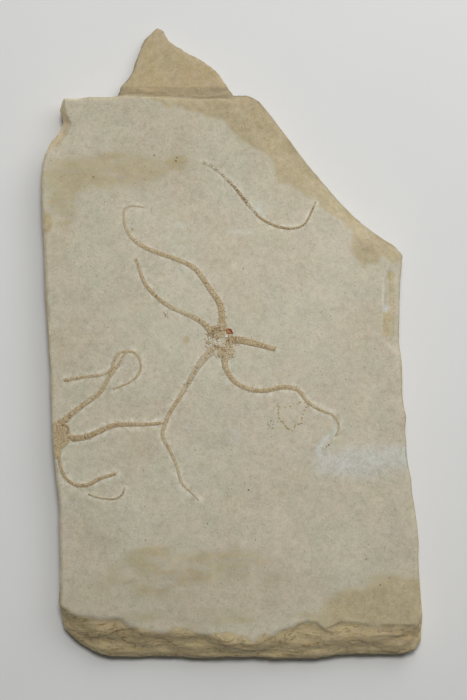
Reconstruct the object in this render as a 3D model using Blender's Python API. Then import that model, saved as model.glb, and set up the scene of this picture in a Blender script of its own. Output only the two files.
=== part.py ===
"""A brittle star fossil on its limestone slab.

The slab is a thin plate split along its bedding. It lies on its back, with the fossils in low relief on its
upper face: one whole brittle star, a second one cut off by the left edge, and a loose arm. Each of them sits in
its own shallow bed in the stone.

Metres, +Z up. The origin is the middle of the slab's footprint, on the underside. +Y runs towards the thin
tongue at the head of the slab, and +X to the right as the fossils are read.
"""

import math

import bmesh
import bpy
from mathutils import Vector, noise

MM = 0.001

# Slab
SLAB_THICKNESS = 14.0 * MM
STATION_SPACING = 4.2 * MM  # along the slab's outline
NORMAL_REACH = 12.0 * MM  # the outline's normals are averaged this far each way, so that wide slopes turn corners
SHORT_WAVE = 7.0 * MM  # the two sizes of the waves in a broken edge
LONG_WAVE = 19.0 * MM

# Tongue: a lower layer of the same stone that reaches past the head of the slab
TONGUE_TOP_ROOT = 6.0 * MM
TONGUE_TOP_TIP = 4.4 * MM
TONGUE_FOOT_ROOT = 0.8 * MM
TONGUE_FOOT_TIP = 1.8 * MM
TONGUE_SPACING = 3.0 * MM
TONGUE_ROUGHNESS = 0.15  # mm

# Fossils
BED_GAP = 0.3 * MM  # clearance between a fossil and its bed
FOSSIL_FOOT = 0.5 * MM  # how far a fossil reaches below the face
SHOULDER_HEIGHT = 0.08 * MM  # its side wall stands this far above the face
CROWN_RATIO = 0.17  # rise of its crown above the shoulder, as a share of its width
CUTTER_RISE = 1.5 * MM  # bed cutters run this far above the face
ARM_SPACING = 2.1 * MM
BED_STEP = 0.02 * MM  # each bed is this much deeper than the last, so that no two floors are level

# The outline, anticlockwise from the head's left corner, in mm, with how the edge is broken there.
OUTLINE = [
    (-56.3, 81.7, "broken"), (-57.6, 79.2, "notch"), (-57.7, 77.2, "notch"), (-56.4, 74.0, "notch"),
    (-56.8, 71.6, "notch"), (-58.6, 69.6, "notch"), (-60.6, 67.2, "notch"), (-62.3, 63.0, "broken"),
    (-63.6, 58.0, "broken"), (-63.6, 47.3, "broken"), (-63.1, 34.0, "broken"), (-62.3, 14.0, "broken"),
    (-61.4, -2.7, "broken"), (-60.6, -17.7, "broken"), (-60.3, -32.7, "broken"), (-59.3, -41.0, "broken"),
    (-58.1, -52.7, "broken"), (-57.6, -64.3, "broken"), (-57.3, -79.3, "broken"), (-57.7, -89.5, "broken"),
    (-57.0, -95.8, "ledges"), (-54.2, -99.6, "ledges"), (-49.4, -102.6, "ledges"), (-45.0, -105.0, "wide_ledges"),
    (-37.2, -106.2, "wide_ledges"), (-30.5, -106.4, "ledges"), (-23.8, -106.0, "ledges"), (-15.5, -106.5, "ledges"),
    (-7.2, -106.6, "ledges"), (-2.0, -106.2, "spur"), (3.5, -106.4, "spur"), (9.5, -106.3, "spur"),
    (14.5, -106.8, "ledges"), (20.0, -106.6, "wide_ledges"), (26.5, -106.6, "wide_ledges"), (32.8, -106.2, "ledges"),
    (38.5, -105.2, "ledges"), (43.5, -105.3, "ledges"), (53.5, -105.3, "ledges"), (60.8, -104.4, "ledges"),
    (63.8, -101.0, "ledges"), (64.2, -94.8, "broken"), (63.4, -86.0, "broken"),
    (62.8, -69.3, "broken"), (61.9, -59.3, "broken"), (60.8, -51.0, "broken"), (60.2, -45.3, "broken"),
    (58.8, -39.3, "broken"), (58.6, -34.3, "broken"), (58.0, -29.3, "broken"), (58.6, -24.3, "broken"),
    (57.3, -19.3, "broken"), (57.2, -11.0, "broken"), (56.5, -3.3, "broken"), (55.9, 0.3, "chip"),
    (55.8, 7.3, "chip"), (55.8, 15.7, "chip"), (56.3, 23.4, "chip"), (57.8, 28.2, "narrow_slope"),
    (55.8, 31.4, "narrow_slope"), (51.5, 34.3, "narrow_slope"), (44.3, 39.5, "narrow_slope"),
    (38.5, 44.9, "narrow_slope"), (31.3, 52.9, "narrow_slope"), (24.6, 60.9, "slope"), (18.6, 68.9, "slope"),
    (12.6, 76.9, "slope"), (9.8, 80.4, "slope"), (6.8, 83.1, "slope"), (3.8, 82.5, "narrow_slope"),
    (0.6, 83.1, "narrow_slope"),
    (-2.4, 83.4, "step"), (-9.0, 83.0, "step"), (-20.5, 83.8, "step"), (-30.0, 84.2, "step"), (-37.0, 84.3, "step"),
    (-39.8, 82.1, "broken"), (-47.2, 82.1, "broken"), (-51.8, 81.4, "broken"),
]

# How the edge falls from the face to the foot, as (in from the outline, down from the face) in mm.
PROFILES = {
    "broken": [(1.1, 0.0), (0.7, 0.3), (0.35, 0.9), (0.1, 2.0), (0.0, 3.6), (0.25, 5.4), (0.1, 7.4), (0.35, 9.6),
               (0.8, 12.2), (1.6, 14.0)],
    "notch": [(3.0, 0.0), (2.4, 0.7), (1.5, 1.9), (0.6, 3.2), (0.0, 4.6), (0.2, 6.0), (0.1, 7.8), (0.4, 9.8),
              (0.9, 12.2), (1.7, 14.0)],
    "chip": [(4.9, 0.0), (4.6, 0.7), (2.4, 0.95), (0.6, 1.5), (0.1, 2.6), (0.0, 5.0), (0.2, 7.2), (0.4, 9.6),
             (0.8, 12.2), (1.6, 14.0)],
    "slope": [(8.4, 0.0), (7.7, 0.2), (5.2, 1.3), (2.5, 2.9), (0.5, 4.6), (0.0, 5.6), (0.2, 7.4), (0.4, 9.8),
              (0.9, 12.2), (1.8, 14.0)],
    "narrow_slope": [(4.8, 0.0), (4.3, 0.2), (2.9, 1.2), (1.4, 2.7), (0.4, 4.4), (0.0, 5.6), (0.2, 7.4), (0.4, 9.8),
                     (0.9, 12.2), (1.8, 14.0)],
    "step": [(2.9, 0.0), (2.5, 0.4), (2.1, 1.2), (1.7, 3.0), (1.2, 5.0), (0.7, 7.0), (0.2, 8.4), (0.0, 9.6),
             (0.5, 12.2), (1.5, 14.0)],
    "ledges": [(10.6, 0.0), (10.0, 0.9), (7.4, 1.4), (6.7, 2.9), (4.4, 3.5), (3.7, 5.2), (1.3, 6.0), (0.0, 8.4),
               (1.0, 11.0), (3.4, 14.0)],
    "wide_ledges": [(13.0, 0.0), (12.3, 1.1), (9.0, 1.5), (8.0, 2.6), (5.6, 3.0), (4.9, 4.4), (2.2, 5.4), (0.0, 7.8),
                    (0.6, 10.8), (2.8, 14.0)],
    "spur": [(4.8, 0.0), (4.2, 1.0), (3.7, 1.9), (3.2, 3.1), (2.4, 3.8), (2.0, 5.4), (0.9, 6.4), (0.0, 8.8),
             (1.2, 11.2), (3.8, 14.0)],
}
# How far the broken edge strays from its profile, in mm, in short waves and in long ones.
ROUGHNESS = {
    "broken": (0.3, 0.3), "notch": (0.4, 0.2), "chip": (0.35, 0.3), "slope": (0.2, 0.6), "narrow_slope": (0.2, 0.4),
    "step": (0.2, 0.2), "ledges": (0.8, 2.0), "wide_ledges": (0.8, 2.0), "spur": (0.7, 0.6),
}
# Rings of one layer of the stone stray together, so that its broken edge stays steep.
RING_LAYER = [0, 0, 1, 1, 2, 2, 3, 3, 4, 4]
RING_SHARE = [1.0, 1.0, 1.0, 1.0, 0.9, 0.9, 0.5, 0.3, 0.8, 0.8]

# The tongue's outline in mm: the seen rim, then two corners inside the slab.
TONGUE_RIM = [
    (-38.8, 78.0), (-38.7, 82.0), (-38.0, 85.1), (-37.0, 87.3), (-35.0, 88.8), (-33.4, 91.5), (-32.3, 95.4),
    (-31.3, 97.9), (-30.1, 101.1), (-28.0, 103.9), (-25.7, 106.0), (-24.2, 106.6), (-23.1, 105.6),
    (-22.1, 103.4), (-20.6, 101.4), (-18.0, 99.7), (-15.8, 98.4), (-13.0, 96.6), (-10.4, 95.6), (-7.2, 93.3),
    (-3.9, 90.2), (-2.6, 87.8), (-1.1, 86.0), (0.7, 83.1), (3.0, 78.0),
]
TONGUE_INSIDE = [(1.0, 71.0), (-37.0, 71.0)]
TONGUE_EDGE = [(0.7, 1.0), (0.15, 0.86), (0.0, 0.45), (0.6, 0.0)]  # in from the rim in mm, share of the height

# Layers lost from the underside, as (x, y, radius along x, radius along y, depth) in mm.
BACK_SCARS = [
    (-62.0, -78.0, 26.0, 34.0, 1.1),
    (60.0, 20.0, 20.0, 30.0, 0.9),
    (-16.0, 88.0, 30.0, 14.0, 1.6),
    (34.0, -104.0, 30.0, 15.0, 1.3),
]
SCAR_POINTS = 26

# Arms, from the disc outwards, as (x, y, width) in mm.
ARMS = {
    "star_arm_long": [
        (-3.2, 3.9, 2.5), (-2.9, 8.3, 2.3), (-3.5, 13.3, 2.1), (-7.2, 19.0, 1.8), (-11.8, 24.8, 1.6),
        (-16.8, 27.4, 1.4), (-22.8, 29.5, 1.35), (-28.5, 31.7, 1.2), (-33.2, 34.8, 1.0), (-35.7, 39.3, 0.85),
        (-35.8, 44.3, 0.75), (-33.6, 45.7, 0.6), (-28.9, 45.0, 0.5),
    ],
    "star_arm_bent": [
        (-6.7, 2.8, 2.5), (-9.8, 6.3, 2.1), (-14.8, 9.3, 1.6), (-20.5, 11.8, 1.45), (-25.5, 15.7, 1.3),
        (-29.2, 20.0, 1.1), (-31.0, 25.3, 0.95), (-31.9, 27.8, 0.8),
    ],
    "star_arm_stub": [
        (1.1, 0.7, 2.7), (4.2, 0.8, 2.3), (8.8, 0.0, 2.0), (12.2, -1.5, 1.7), (14.6, -2.5, 1.5),
    ],
    "star_arm_right": [
        (-2.5, -4.9, 2.2), (-2.3, -8.3, 1.9), (0.8, -13.2, 1.5), (5.8, -15.8, 1.35), (11.0, -16.3, 1.3),
        (17.2, -14.9, 1.25), (22.2, -15.8, 1.1), (25.5, -19.7, 0.95), (29.5, -22.3, 0.8), (33.8, -24.2, 0.7),
        (36.0, -28.0, 0.6), (34.8, -31.4, 0.5),
    ],
    "star_arm_down": [
        (-7.0, -2.9, 2.4), (-10.2, -6.3, 2.1), (-13.5, -11.3, 1.7), (-17.5, -18.7, 1.5), (-21.3, -24.8, 1.4),
        (-23.2, -31.3, 1.05), (-20.8, -36.0, 0.9), (-18.5, -41.3, 0.8), (-16.5, -47.3, 0.7),
        (-13.2, -50.3, 0.55), (-10.9, -52.7, 0.5),
    ],
    "edge_star_arm_looped": [
        (-56.0, -25.9, 1.8), (-52.5, -22.8, 1.6), (-47.8, -19.3, 1.5), (-43.8, -16.3, 1.4), (-40.5, -11.0, 1.2),
        (-37.2, -7.0, 1.05), (-35.3, -3.4, 0.9), (-32.3, -3.4, 0.8), (-30.1, -7.7, 0.7), (-31.8, -11.8, 0.65),
        (-36.2, -14.4, 0.55), (-39.6, -15.6, 0.5),
    ],
    "edge_star_arm_middle": [
        (-52.8, -31.9, 1.8), (-48.7, -31.5, 1.6), (-43.8, -29.5, 1.35), (-39.5, -27.7, 1.2), (-34.0, -27.3, 1.0),
        (-28.2, -27.3, 0.85), (-23.7, -27.0, 0.7),
    ],
    "edge_star_arm_lower": [
        (-57.9, -37.3, 1.5), (-57.5, -40.5, 1.25), (-55.6, -45.2, 1.05), (-52.0, -47.7, 1.05), (-48.0, -47.6, 1.1),
        (-43.8, -45.3, 1.05), (-38.4, -43.8, 0.75),
    ],
    "edge_star_arm_tip": [
        (-35.5, -48.7, 0.5), (-36.3, -51.0, 0.6), (-39.4, -52.4, 0.6), (-43.5, -51.9, 0.55), (-47.8, -50.7, 0.5),
    ],
    "loose_arm": [
        (-9.3, 60.0, 0.6), (-5.8, 58.3, 0.6), (-2.0, 54.8, 0.75), (2.2, 50.2, 1.0), (6.0, 45.3, 0.95),
        (9.8, 41.0, 0.85), (14.5, 38.6, 0.85), (20.3, 37.8, 0.7), (24.2, 39.2, 0.65), (26.6, 43.6, 0.6),
        (27.9, 46.9, 0.5),
    ],
}
# This arm lies under the looped one and is grown into it where they cross.
CROSSING_ARM = [
    (-55.8, -12.5, 0.7), (-49.8, -11.5, 0.9), (-43.8, -10.8, 0.9), (-40.3, -9.3, 0.95), (-39.2, -6.0, 1.0),
    (-37.6, -3.4, 0.95), (-35.0, -2.8, 0.8),
]
CROSSING_DROP = 0.07 * MM

STAR_DISC_CENTRE = (-3.1, -0.6)
STAR_DISC_RADIUS = 3.75
STAR_DISC_CROWN = 0.55
STAR_DISC_ARM_ANGLES = (91, 149, 212, 274, 14)  # degrees, where the disc bulges towards an arm
STAR_DISC_BULGE = 0.09
WORN_PATCH = (-4.6, 0.5, 2.4, 1.0, 0.5)  # x, y, radius along x and along y, and depth in mm

# The second disc, anticlockwise in mm: the slab's edge cuts its left side off.
EDGE_DISC = [
    (-59.8, -27.4), (-59.7, -31.3), (-59.5, -35.0), (-58.4, -36.2), (-56.8, -35.9), (-55.2, -34.7), (-54.0, -33.0),
    (-53.5, -30.7), (-53.8, -28.8), (-55.2, -27.5), (-57.2, -27.1), (-58.8, -26.5),
]
EDGE_DISC_SPACING = 1.0 * MM
EDGE_DISC_CROWN = 0.5
EDGE_BED_REACH = 4.0  # mm that the disc's bed runs out past the slab's edge

RUST_GRAIN = [(-1.9, 4.3, 0.7), (-0.7, 4.2, 1.0), (0.2, 3.3, 0.9), (0.4, 2.6, 0.6)]

LIMESTONE = (0.44, 0.40, 0.29)
FOSSIL_CALCITE = (0.30, 0.20, 0.10)
IRON_OXIDE = (0.25, 0.07, 0.02)


def material(name, colour, roughness):
    made = bpy.data.materials.new(name)
    made.use_nodes = True
    shader = made.node_tree.nodes["Principled BSDF"]
    shader.inputs["Base Color"].default_value = (*colour, 1.0)
    shader.inputs["Roughness"].default_value = roughness
    shader.inputs["Metallic"].default_value = 0.0
    return made


def new_object(name, bm, finish):
    """An object from a bmesh, which is freed."""
    bmesh.ops.recalc_face_normals(bm, faces=bm.faces)
    mesh = bpy.data.meshes.new(name)
    bm.to_mesh(mesh)
    bm.free()
    mesh.materials.append(finish)
    made = bpy.data.objects.new(name, mesh)
    bpy.context.scene.collection.objects.link(made)
    return made


def helper(obj):
    """A cutter or a second half: Blender shows it as wire and leaves it out of renders."""
    obj.hide_render = True
    obj.display_type = "WIRE"
    return obj


def boolean(target, other, operation):
    step = target.modifiers.new(other.name, "BOOLEAN")
    step.object = other
    step.operation = operation
    step.solver = "EXACT"


def catmull_rom(p0, p1, p2, p3, t):
    """The point at share t from p1 to p2 of a centripetal Catmull-Rom curve."""
    k1 = math.sqrt(max((p1 - p0).length, 1e-9))
    k2 = k1 + math.sqrt(max((p2 - p1).length, 1e-9))
    k3 = k2 + math.sqrt(max((p3 - p2).length, 1e-9))
    k = k1 + (k2 - k1) * t
    a1 = p0 * ((k1 - k) / k1) + p1 * (k / k1)
    a2 = p1 * ((k2 - k) / (k2 - k1)) + p2 * ((k - k1) / (k2 - k1))
    a3 = p2 * ((k3 - k) / (k3 - k2)) + p3 * ((k - k2) / (k3 - k2))
    b1 = a1 * ((k2 - k) / k2) + a2 * (k / k2)
    b2 = a2 * ((k3 - k) / (k3 - k1)) + a3 * ((k - k1) / (k3 - k1))
    return b1 * ((k2 - k) / (k2 - k1)) + b2 * ((k - k1) / (k2 - k1))


def stations(points, spacing, closed):
    """Evenly spaced (point, place) along a smooth curve through the points. A place is an index into the points
    with a fraction, so 2.25 is a quarter of the way from point 2 to point 3."""
    spans = len(points) if closed else len(points) - 1
    last = len(points) - 1

    def at(i):
        return points[i % len(points)] if closed else points[min(max(i, 0), last)]

    fine, per_span = [], 24
    for i in range(spans):
        before = at(i - 1) if closed or i > 0 else at(0) * 2 - at(1)
        after = at(i + 2) if closed or i + 2 <= last else at(last) * 2 - at(last - 1)
        for step in range(per_span):
            fine.append((catmull_rom(before, at(i), at(i + 1), after, step / per_span), i + step / per_span))
    fine.append((at(0) if closed else at(last), float(spans)))
    lengths = [0.0]
    for (a, _), (b, _) in zip(fine, fine[1:]):
        lengths.append(lengths[-1] + (b - a).length)
    count = max(2, round(lengths[-1] / spacing))
    made, i = [], 0
    for n in range(count if closed else count + 1):
        wanted = lengths[-1] * n / count
        while i < len(fine) - 2 and lengths[i + 1] < wanted:
            i += 1
        share = (wanted - lengths[i]) / max(lengths[i + 1] - lengths[i], 1e-12)
        (a, place_a), (b, place_b) = fine[i], fine[i + 1]
        made.append((a.lerp(b, share), place_a + (place_b - place_a) * share))
    return made


def outward_normals(line, reach):
    """Outward unit normals of an anticlockwise closed line, each averaged over its neighbours within reach."""
    count = len(line)
    own = []
    for i in range(count):
        along = line[(i + 1) % count] - line[i - 1]
        own.append(Vector((along.y, -along.x)).normalized())
    spread = max(1, round(reach / (line[1] - line[0]).length))
    made = []
    for i in range(count):
        total = Vector((0.0, 0.0))
        for k in range(-spread, spread + 1):
            total += own[(i + k) % count] * (spread + 1 - abs(k))
        made.append(total.normalized())
    return made


def wave(point, layer, length):
    """Smooth noise from about -1 to 1 at a point of the outline, different in each layer."""
    return noise.noise(Vector((point.x / length, point.y / length, 7.3 * layer))) * 1.6


def between(kinds, place, pair_of):
    """The pair of numbers that pair_of gives for a kind of edge, blended between the two outline points that the
    place lies between."""
    first, share = int(place) % len(kinds), place - int(place)
    a, b = pair_of(kinds[first]), pair_of(kinds[(first + 1) % len(kinds)])
    return tuple(x + (y - x) * share for x, y in zip(a, b))


def loft(bm, rings):
    """Closed skin over rings of equal length, with a flat cap on the first and on the last."""
    made = [[bm.verts.new(p) for p in ring] for ring in rings]
    for upper, lower in zip(made, made[1:]):
        for i in range(len(upper)):
            k = (i + 1) % len(upper)
            bm.faces.new((upper[i], lower[i], lower[k], upper[k]))
    bm.faces.new(made[0])
    bm.faces.new(reversed(made[-1]))


def plate(finish):
    """The slab's main plate, lofted down its broken edges."""
    corners = [Vector((x, y)) * MM for x, y, _ in OUTLINE]
    kinds = [kind for _, _, kind in OUTLINE]
    line = stations(corners, STATION_SPACING, closed=True)
    normals = outward_normals([p for p, _ in line], NORMAL_REACH)
    rings = [[] for _ in RING_LAYER]
    for (point, place), normal in zip(line, normals):
        short, long = between(kinds, place, ROUGHNESS.get)
        for ring, layer in enumerate(RING_LAYER):
            inset, drop = between(kinds, place, lambda kind: PROFILES[kind][ring])
            stray = wave(point, layer, SHORT_WAVE) * short + wave(point, layer + 10, LONG_WAVE) * long
            where = point - normal * max(inset + stray * RING_SHARE[ring], 0.0) * MM
            rings[ring].append(Vector((where.x, where.y, SLAB_THICKNESS - drop * MM)))
    bm = bmesh.new()
    loft(bm, rings)
    return new_object("slab", bm, finish)


def tongue(finish):
    """The lower layer that reaches past the head of the slab, thinning towards its tip."""
    rim = [p for p, _ in stations([Vector(p) * MM for p in TONGUE_RIM], TONGUE_SPACING, closed=False)]
    inside = [Vector(p) * MM for p in TONGUE_INSIDE]
    line = rim + inside
    line.reverse()
    normals = outward_normals(line, 1.5 * TONGUE_SPACING)
    root_y = min(p.y for p in line)
    reach = max(p.y for p in line) - root_y
    rings = []
    for layer, (inset, share) in enumerate(TONGUE_EDGE):
        ring = []
        for point, normal in zip(line, normals):
            out = (point.y - root_y) / reach
            top = TONGUE_TOP_ROOT + (TONGUE_TOP_TIP - TONGUE_TOP_ROOT) * out
            foot = TONGUE_FOOT_ROOT + (TONGUE_FOOT_TIP - TONGUE_FOOT_ROOT) * out
            where = point - normal * (inset + wave(point, 40 + layer, SHORT_WAVE) * TONGUE_ROUGHNESS) * MM
            ring.append(Vector((where.x, where.y, foot + (top - foot) * share)))
        rings.append(ring)
    bm = bmesh.new()
    loft(bm, rings)
    return helper(new_object("tongue_layer", bm, finish))


def back_scar(index, finish):
    """A cutter for an irregular flake lost from the underside."""
    x, y, reach_x, reach_y, depth = BACK_SCARS[index]
    rings = [[], []]
    for i in range(SCAR_POINTS):
        turn = 2 * math.pi * i / SCAR_POINTS
        swell = 1 + 0.22 * noise.noise(Vector((2.0 * math.cos(turn), 2.0 * math.sin(turn), 11.0 * index)))
        edge = Vector((x + reach_x * swell * math.cos(turn), y + reach_y * swell * math.sin(turn)))
        rings[0].append(Vector((edge.x * MM, edge.y * MM, depth * MM)))
        rings[1].append(Vector((edge.x * MM, edge.y * MM, -2.0 * MM)))
    bm = bmesh.new()
    loft(bm, rings)
    return helper(new_object(f"back_scar_{index}", bm, finish))


def tube(bm, line, section):
    """A closed tube along a line of (x, y, width) points. The section gives its (across, height) points for a
    width, anticlockwise as seen looking back along the line."""
    rings = []
    for i, point in enumerate(line):
        ahead = line[min(i + 1, len(line) - 1)]
        behind = line[max(i - 1, 0)]
        along = Vector((ahead.x - behind.x, ahead.y - behind.y)).normalized()
        side = Vector((-along.y, along.x))
        rings.append([
            Vector((point.x + side.x * across, point.y + side.y * across, height))
            for across, height in section(point.z)
        ])
    loft(bm, rings)


def arm_section(drop):
    """A low vault: a flat foot below the face, short side walls and a rounded crown."""
    def section(width):
        half = width / 2
        foot = SLAB_THICKNESS - FOSSIL_FOOT - drop
        shoulder = SLAB_THICKNESS + SHOULDER_HEIGHT - drop
        crown = shoulder + CROWN_RATIO * width
        return [
            (-half, foot), (half, foot), (half, shoulder), (half * 0.45, crown), (-half * 0.45, crown),
            (-half, shoulder),
        ]
    return section


def bed_section(depth):
    """The bed of an arm: its width and a gap on each side, from below the arm's foot to above the face."""
    def section(width):
        half = width / 2 + BED_GAP
        low, high = SLAB_THICKNESS - depth, SLAB_THICKNESS + CUTTER_RISE
        return [(-half, low), (half, low), (half, high), (-half, high)]
    return section


def arm_line(points, extend=0.0):
    """The arm's evenly spaced centre line, its width as z, with each end moved out by extend."""
    line = [p for p, _ in stations([Vector(p) * MM for p in points], ARM_SPACING, closed=False)]
    for end, inner in ((0, 1), (-1, -2)):
        out = line[end] - line[inner]
        out.z = 0.0
        line[end] = line[end] + out.normalized() * extend
    return line


def arm(name, points, finish, drop=0.0):
    bm = bmesh.new()
    tube(bm, arm_line(points), arm_section(drop))
    return new_object(name, bm, finish)


def arm_bed(name, points, depth, finish):
    bm = bmesh.new()
    tube(bm, arm_line(points, extend=BED_GAP), bed_section(depth))
    return helper(new_object(name, bm, finish))


def dome(name, edge, crown, finish):
    """A low dome over an outline: flat foot below the face, side wall, two rings and a flat crown."""
    centre = sum(edge, Vector((0.0, 0.0))) / len(edge)
    foot, shoulder = SLAB_THICKNESS - FOSSIL_FOOT, SLAB_THICKNESS + SHOULDER_HEIGHT
    rings = []
    for share, height in ((1.0, foot), (1.0, shoulder), (0.82, shoulder + crown * 0.6), (0.45, shoulder + crown)):
        rings.append([Vector((*centre.lerp(p, share), height)) for p in edge])
    bm = bmesh.new()
    loft(bm, rings)
    return new_object(name, bm, finish)


def prism(name, edge, low, high, finish):
    bm = bmesh.new()
    loft(bm, [[Vector((p.x, p.y, z)) for p in edge] for z in (high, low)])
    return helper(new_object(name, bm, finish))


def grown(edge, by):
    """An anticlockwise outline moved outwards by a distance."""
    return [p + n * by for p, n in zip(edge, outward_normals(edge, 0.0))]


def star_disc_edge():
    """A round disc that bulges a little towards each of the five arms."""
    centre = Vector(STAR_DISC_CENTRE)
    edge = []
    for i in range(30):
        turn = math.radians(12 * i)
        bulge = sum(math.exp(-((math.degrees(turn) - a + 180) % 360 - 180) ** 2 / 300) for a in STAR_DISC_ARM_ANGLES)
        radius = STAR_DISC_RADIUS * (1 - STAR_DISC_BULGE + STAR_DISC_BULGE * bulge)
        edge.append((centre + Vector((math.cos(turn), math.sin(turn))) * radius) * MM)
    return edge


def worn_patch(finish):
    """A cutter for the shallow patch where the disc's skin has come away."""
    x, y, reach_x, reach_y, depth = WORN_PATCH
    edge = []
    for i in range(12):
        turn = 2 * math.pi * i / 12
        swell = 1 + 0.3 * noise.noise(Vector((3 * math.cos(turn), 3 * math.sin(turn), 5.0)))
        edge.append(Vector((x + reach_x * swell * math.cos(turn), y + reach_y * swell * math.sin(turn))) * MM)
    low = SLAB_THICKNESS + SHOULDER_HEIGHT + (STAR_DISC_CROWN - depth) * MM
    return prism("worn_patch", edge, low, SLAB_THICKNESS + CUTTER_RISE, finish)


def edge_disc_edge():
    return [p for p, _ in stations([Vector(p) * MM for p in EDGE_DISC], EDGE_DISC_SPACING, closed=True)]


def edge_disc_bed():
    """The second disc's bed, which runs out through the slab's left edge."""
    grown_edge = grown(edge_disc_edge(), BED_GAP)
    left = min(p.x for p in grown_edge)
    return [Vector((p.x - EDGE_BED_REACH * MM, p.y)) if p.x < left + 0.6 * MM else p for p in grown_edge]


def build():
    for obj in list(bpy.data.objects):
        bpy.data.objects.remove(obj)
    limestone = material("limestone", LIMESTONE, 0.9)
    calcite = material("fossil_calcite", FOSSIL_CALCITE, 0.75)
    iron_oxide = material("iron_oxide", IRON_OXIDE, 0.6)

    slab = plate(limestone)
    boolean(slab, tongue(limestone), "UNION")
    for index in range(len(BACK_SCARS)):
        boolean(slab, back_scar(index, limestone), "DIFFERENCE")

    depth = FOSSIL_FOOT + BED_GAP
    for name, points in ARMS.items():
        arm(name, points, calcite)
        depth += BED_STEP
        boolean(slab, arm_bed(f"bed_of_{name}", points, depth, limestone), "DIFFERENCE")
    crossing = helper(arm("crossing_arm", CROSSING_ARM, calcite, CROSSING_DROP))
    boolean(bpy.data.objects["edge_star_arm_looped"], crossing, "UNION")
    depth += BED_STEP + CROSSING_DROP
    boolean(slab, arm_bed("bed_of_crossing_arm", CROSSING_ARM, depth, limestone), "DIFFERENCE")

    top = SLAB_THICKNESS + CUTTER_RISE
    star_edge = star_disc_edge()
    disc = dome("star_disc", star_edge, STAR_DISC_CROWN * MM, calcite)
    boolean(disc, worn_patch(calcite), "DIFFERENCE")
    depth += BED_STEP
    boolean(slab, prism("bed_of_star_disc", grown(star_edge, BED_GAP), SLAB_THICKNESS - depth, top, limestone),
            "DIFFERENCE")

    dome("edge_star_disc", edge_disc_edge(), EDGE_DISC_CROWN * MM, calcite)
    depth += BED_STEP
    boolean(slab, prism("bed_of_edge_disc", edge_disc_bed(), SLAB_THICKNESS - depth, top, limestone), "DIFFERENCE")

    arm("rust_grain", RUST_GRAIN, iron_oxide)
    depth += BED_STEP
    boolean(slab, arm_bed("bed_of_rust_grain", RUST_GRAIN, depth, limestone), "DIFFERENCE")


build()
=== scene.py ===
import math
import random

import bmesh
import bpy
import numpy as np
from mathutils import Matrix, Vector
from mathutils.bvhtree import BVHTree


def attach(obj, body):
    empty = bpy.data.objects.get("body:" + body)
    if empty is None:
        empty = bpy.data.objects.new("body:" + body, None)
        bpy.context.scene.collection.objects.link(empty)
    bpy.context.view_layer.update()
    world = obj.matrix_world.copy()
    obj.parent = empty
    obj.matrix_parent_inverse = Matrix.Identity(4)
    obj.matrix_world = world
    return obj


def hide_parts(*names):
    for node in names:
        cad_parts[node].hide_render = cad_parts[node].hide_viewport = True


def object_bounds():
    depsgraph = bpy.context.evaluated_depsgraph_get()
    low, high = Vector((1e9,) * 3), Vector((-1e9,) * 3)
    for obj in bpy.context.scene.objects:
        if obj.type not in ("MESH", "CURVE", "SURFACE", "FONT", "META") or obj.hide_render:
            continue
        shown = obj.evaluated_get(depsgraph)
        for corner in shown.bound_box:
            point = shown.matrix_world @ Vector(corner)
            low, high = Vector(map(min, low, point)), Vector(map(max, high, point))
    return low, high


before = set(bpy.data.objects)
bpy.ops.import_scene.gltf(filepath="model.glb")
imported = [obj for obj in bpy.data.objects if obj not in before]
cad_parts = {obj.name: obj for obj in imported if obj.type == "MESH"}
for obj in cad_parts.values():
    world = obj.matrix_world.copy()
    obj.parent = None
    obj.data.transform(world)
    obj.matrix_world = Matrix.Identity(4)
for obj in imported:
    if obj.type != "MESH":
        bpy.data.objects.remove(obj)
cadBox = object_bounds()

mm = 0.001
scene = bpy.context.scene
scene.view_settings.view_transform = "Standard"


def deselectAll():
    if bpy.context.object and bpy.context.object.mode != "OBJECT":
        bpy.ops.object.mode_set(mode="OBJECT")
    bpy.ops.object.select_all(action="DESELECT")


def makeActive(obj):
    deselectAll()
    obj.select_set(True)
    bpy.context.view_layer.objects.active = obj


def editWhole(obj):
    # edit mode, with every face selected
    makeActive(obj)
    bpy.ops.object.mode_set(mode="EDIT")
    bpy.ops.mesh.select_mode(type="FACE")
    bpy.ops.mesh.select_all(action="SELECT")


def leaveEdit():
    bpy.ops.object.mode_set(mode="OBJECT")


def selectFaces(obj, test):
    # edit mode, with just the faces that pass the test selected
    if obj.mode != "EDIT":
        editWhole(obj)
    bpy.ops.mesh.select_mode(type="FACE")
    bpy.ops.mesh.select_all(action="DESELECT")
    for face in bmesh.from_edit_mesh(obj.data).faces:
        if test(face):
            face.select_set(True)
    bmesh.update_edit_mesh(obj.data)


def copyNode(nodeName, pieceName):
    # a CAD node is never changed, so a piece starts from its own copy of the mesh
    piece = bpy.data.objects.new(pieceName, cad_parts[nodeName].data.copy())
    scene.collection.objects.link(piece)
    piece.data.materials.clear()
    editWhole(piece)
    bpy.ops.mesh.remove_doubles(threshold=0.01 * mm)
    leaveEdit()
    return piece


def applyModifier(obj, kind, **settings):
    makeActive(obj)
    modifier = obj.modifiers.new(kind.lower(), kind)
    for key, value in settings.items():
        setattr(modifier, key, value)
    bpy.ops.object.modifier_apply(modifier=modifier.name)


def remesh(obj, voxel):
    applyModifier(obj, "REMESH", mode="VOXEL", voxel_size=voxel * mm)


def displace(obj, name, size, strength, depth=2, level=0.5, **settings):
    # size and strength in mm
    texture = bpy.data.textures.new(name, "CLOUDS")
    texture.noise_scale = size * mm
    texture.noise_depth = depth
    texture.noise_basis = "ORIGINAL_PERLIN"
    applyModifier(obj, "DISPLACE", texture=texture, strength=strength * mm, mid_level=level, **settings)


def joinPieces(pieces, name):
    makeActive(pieces[0])
    for piece in pieces:
        piece.select_set(True)
    if len(pieces) > 1:
        bpy.ops.object.join()
    pieces[0].name = name
    pieces[0].data.name = name
    return pieces[0]


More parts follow.
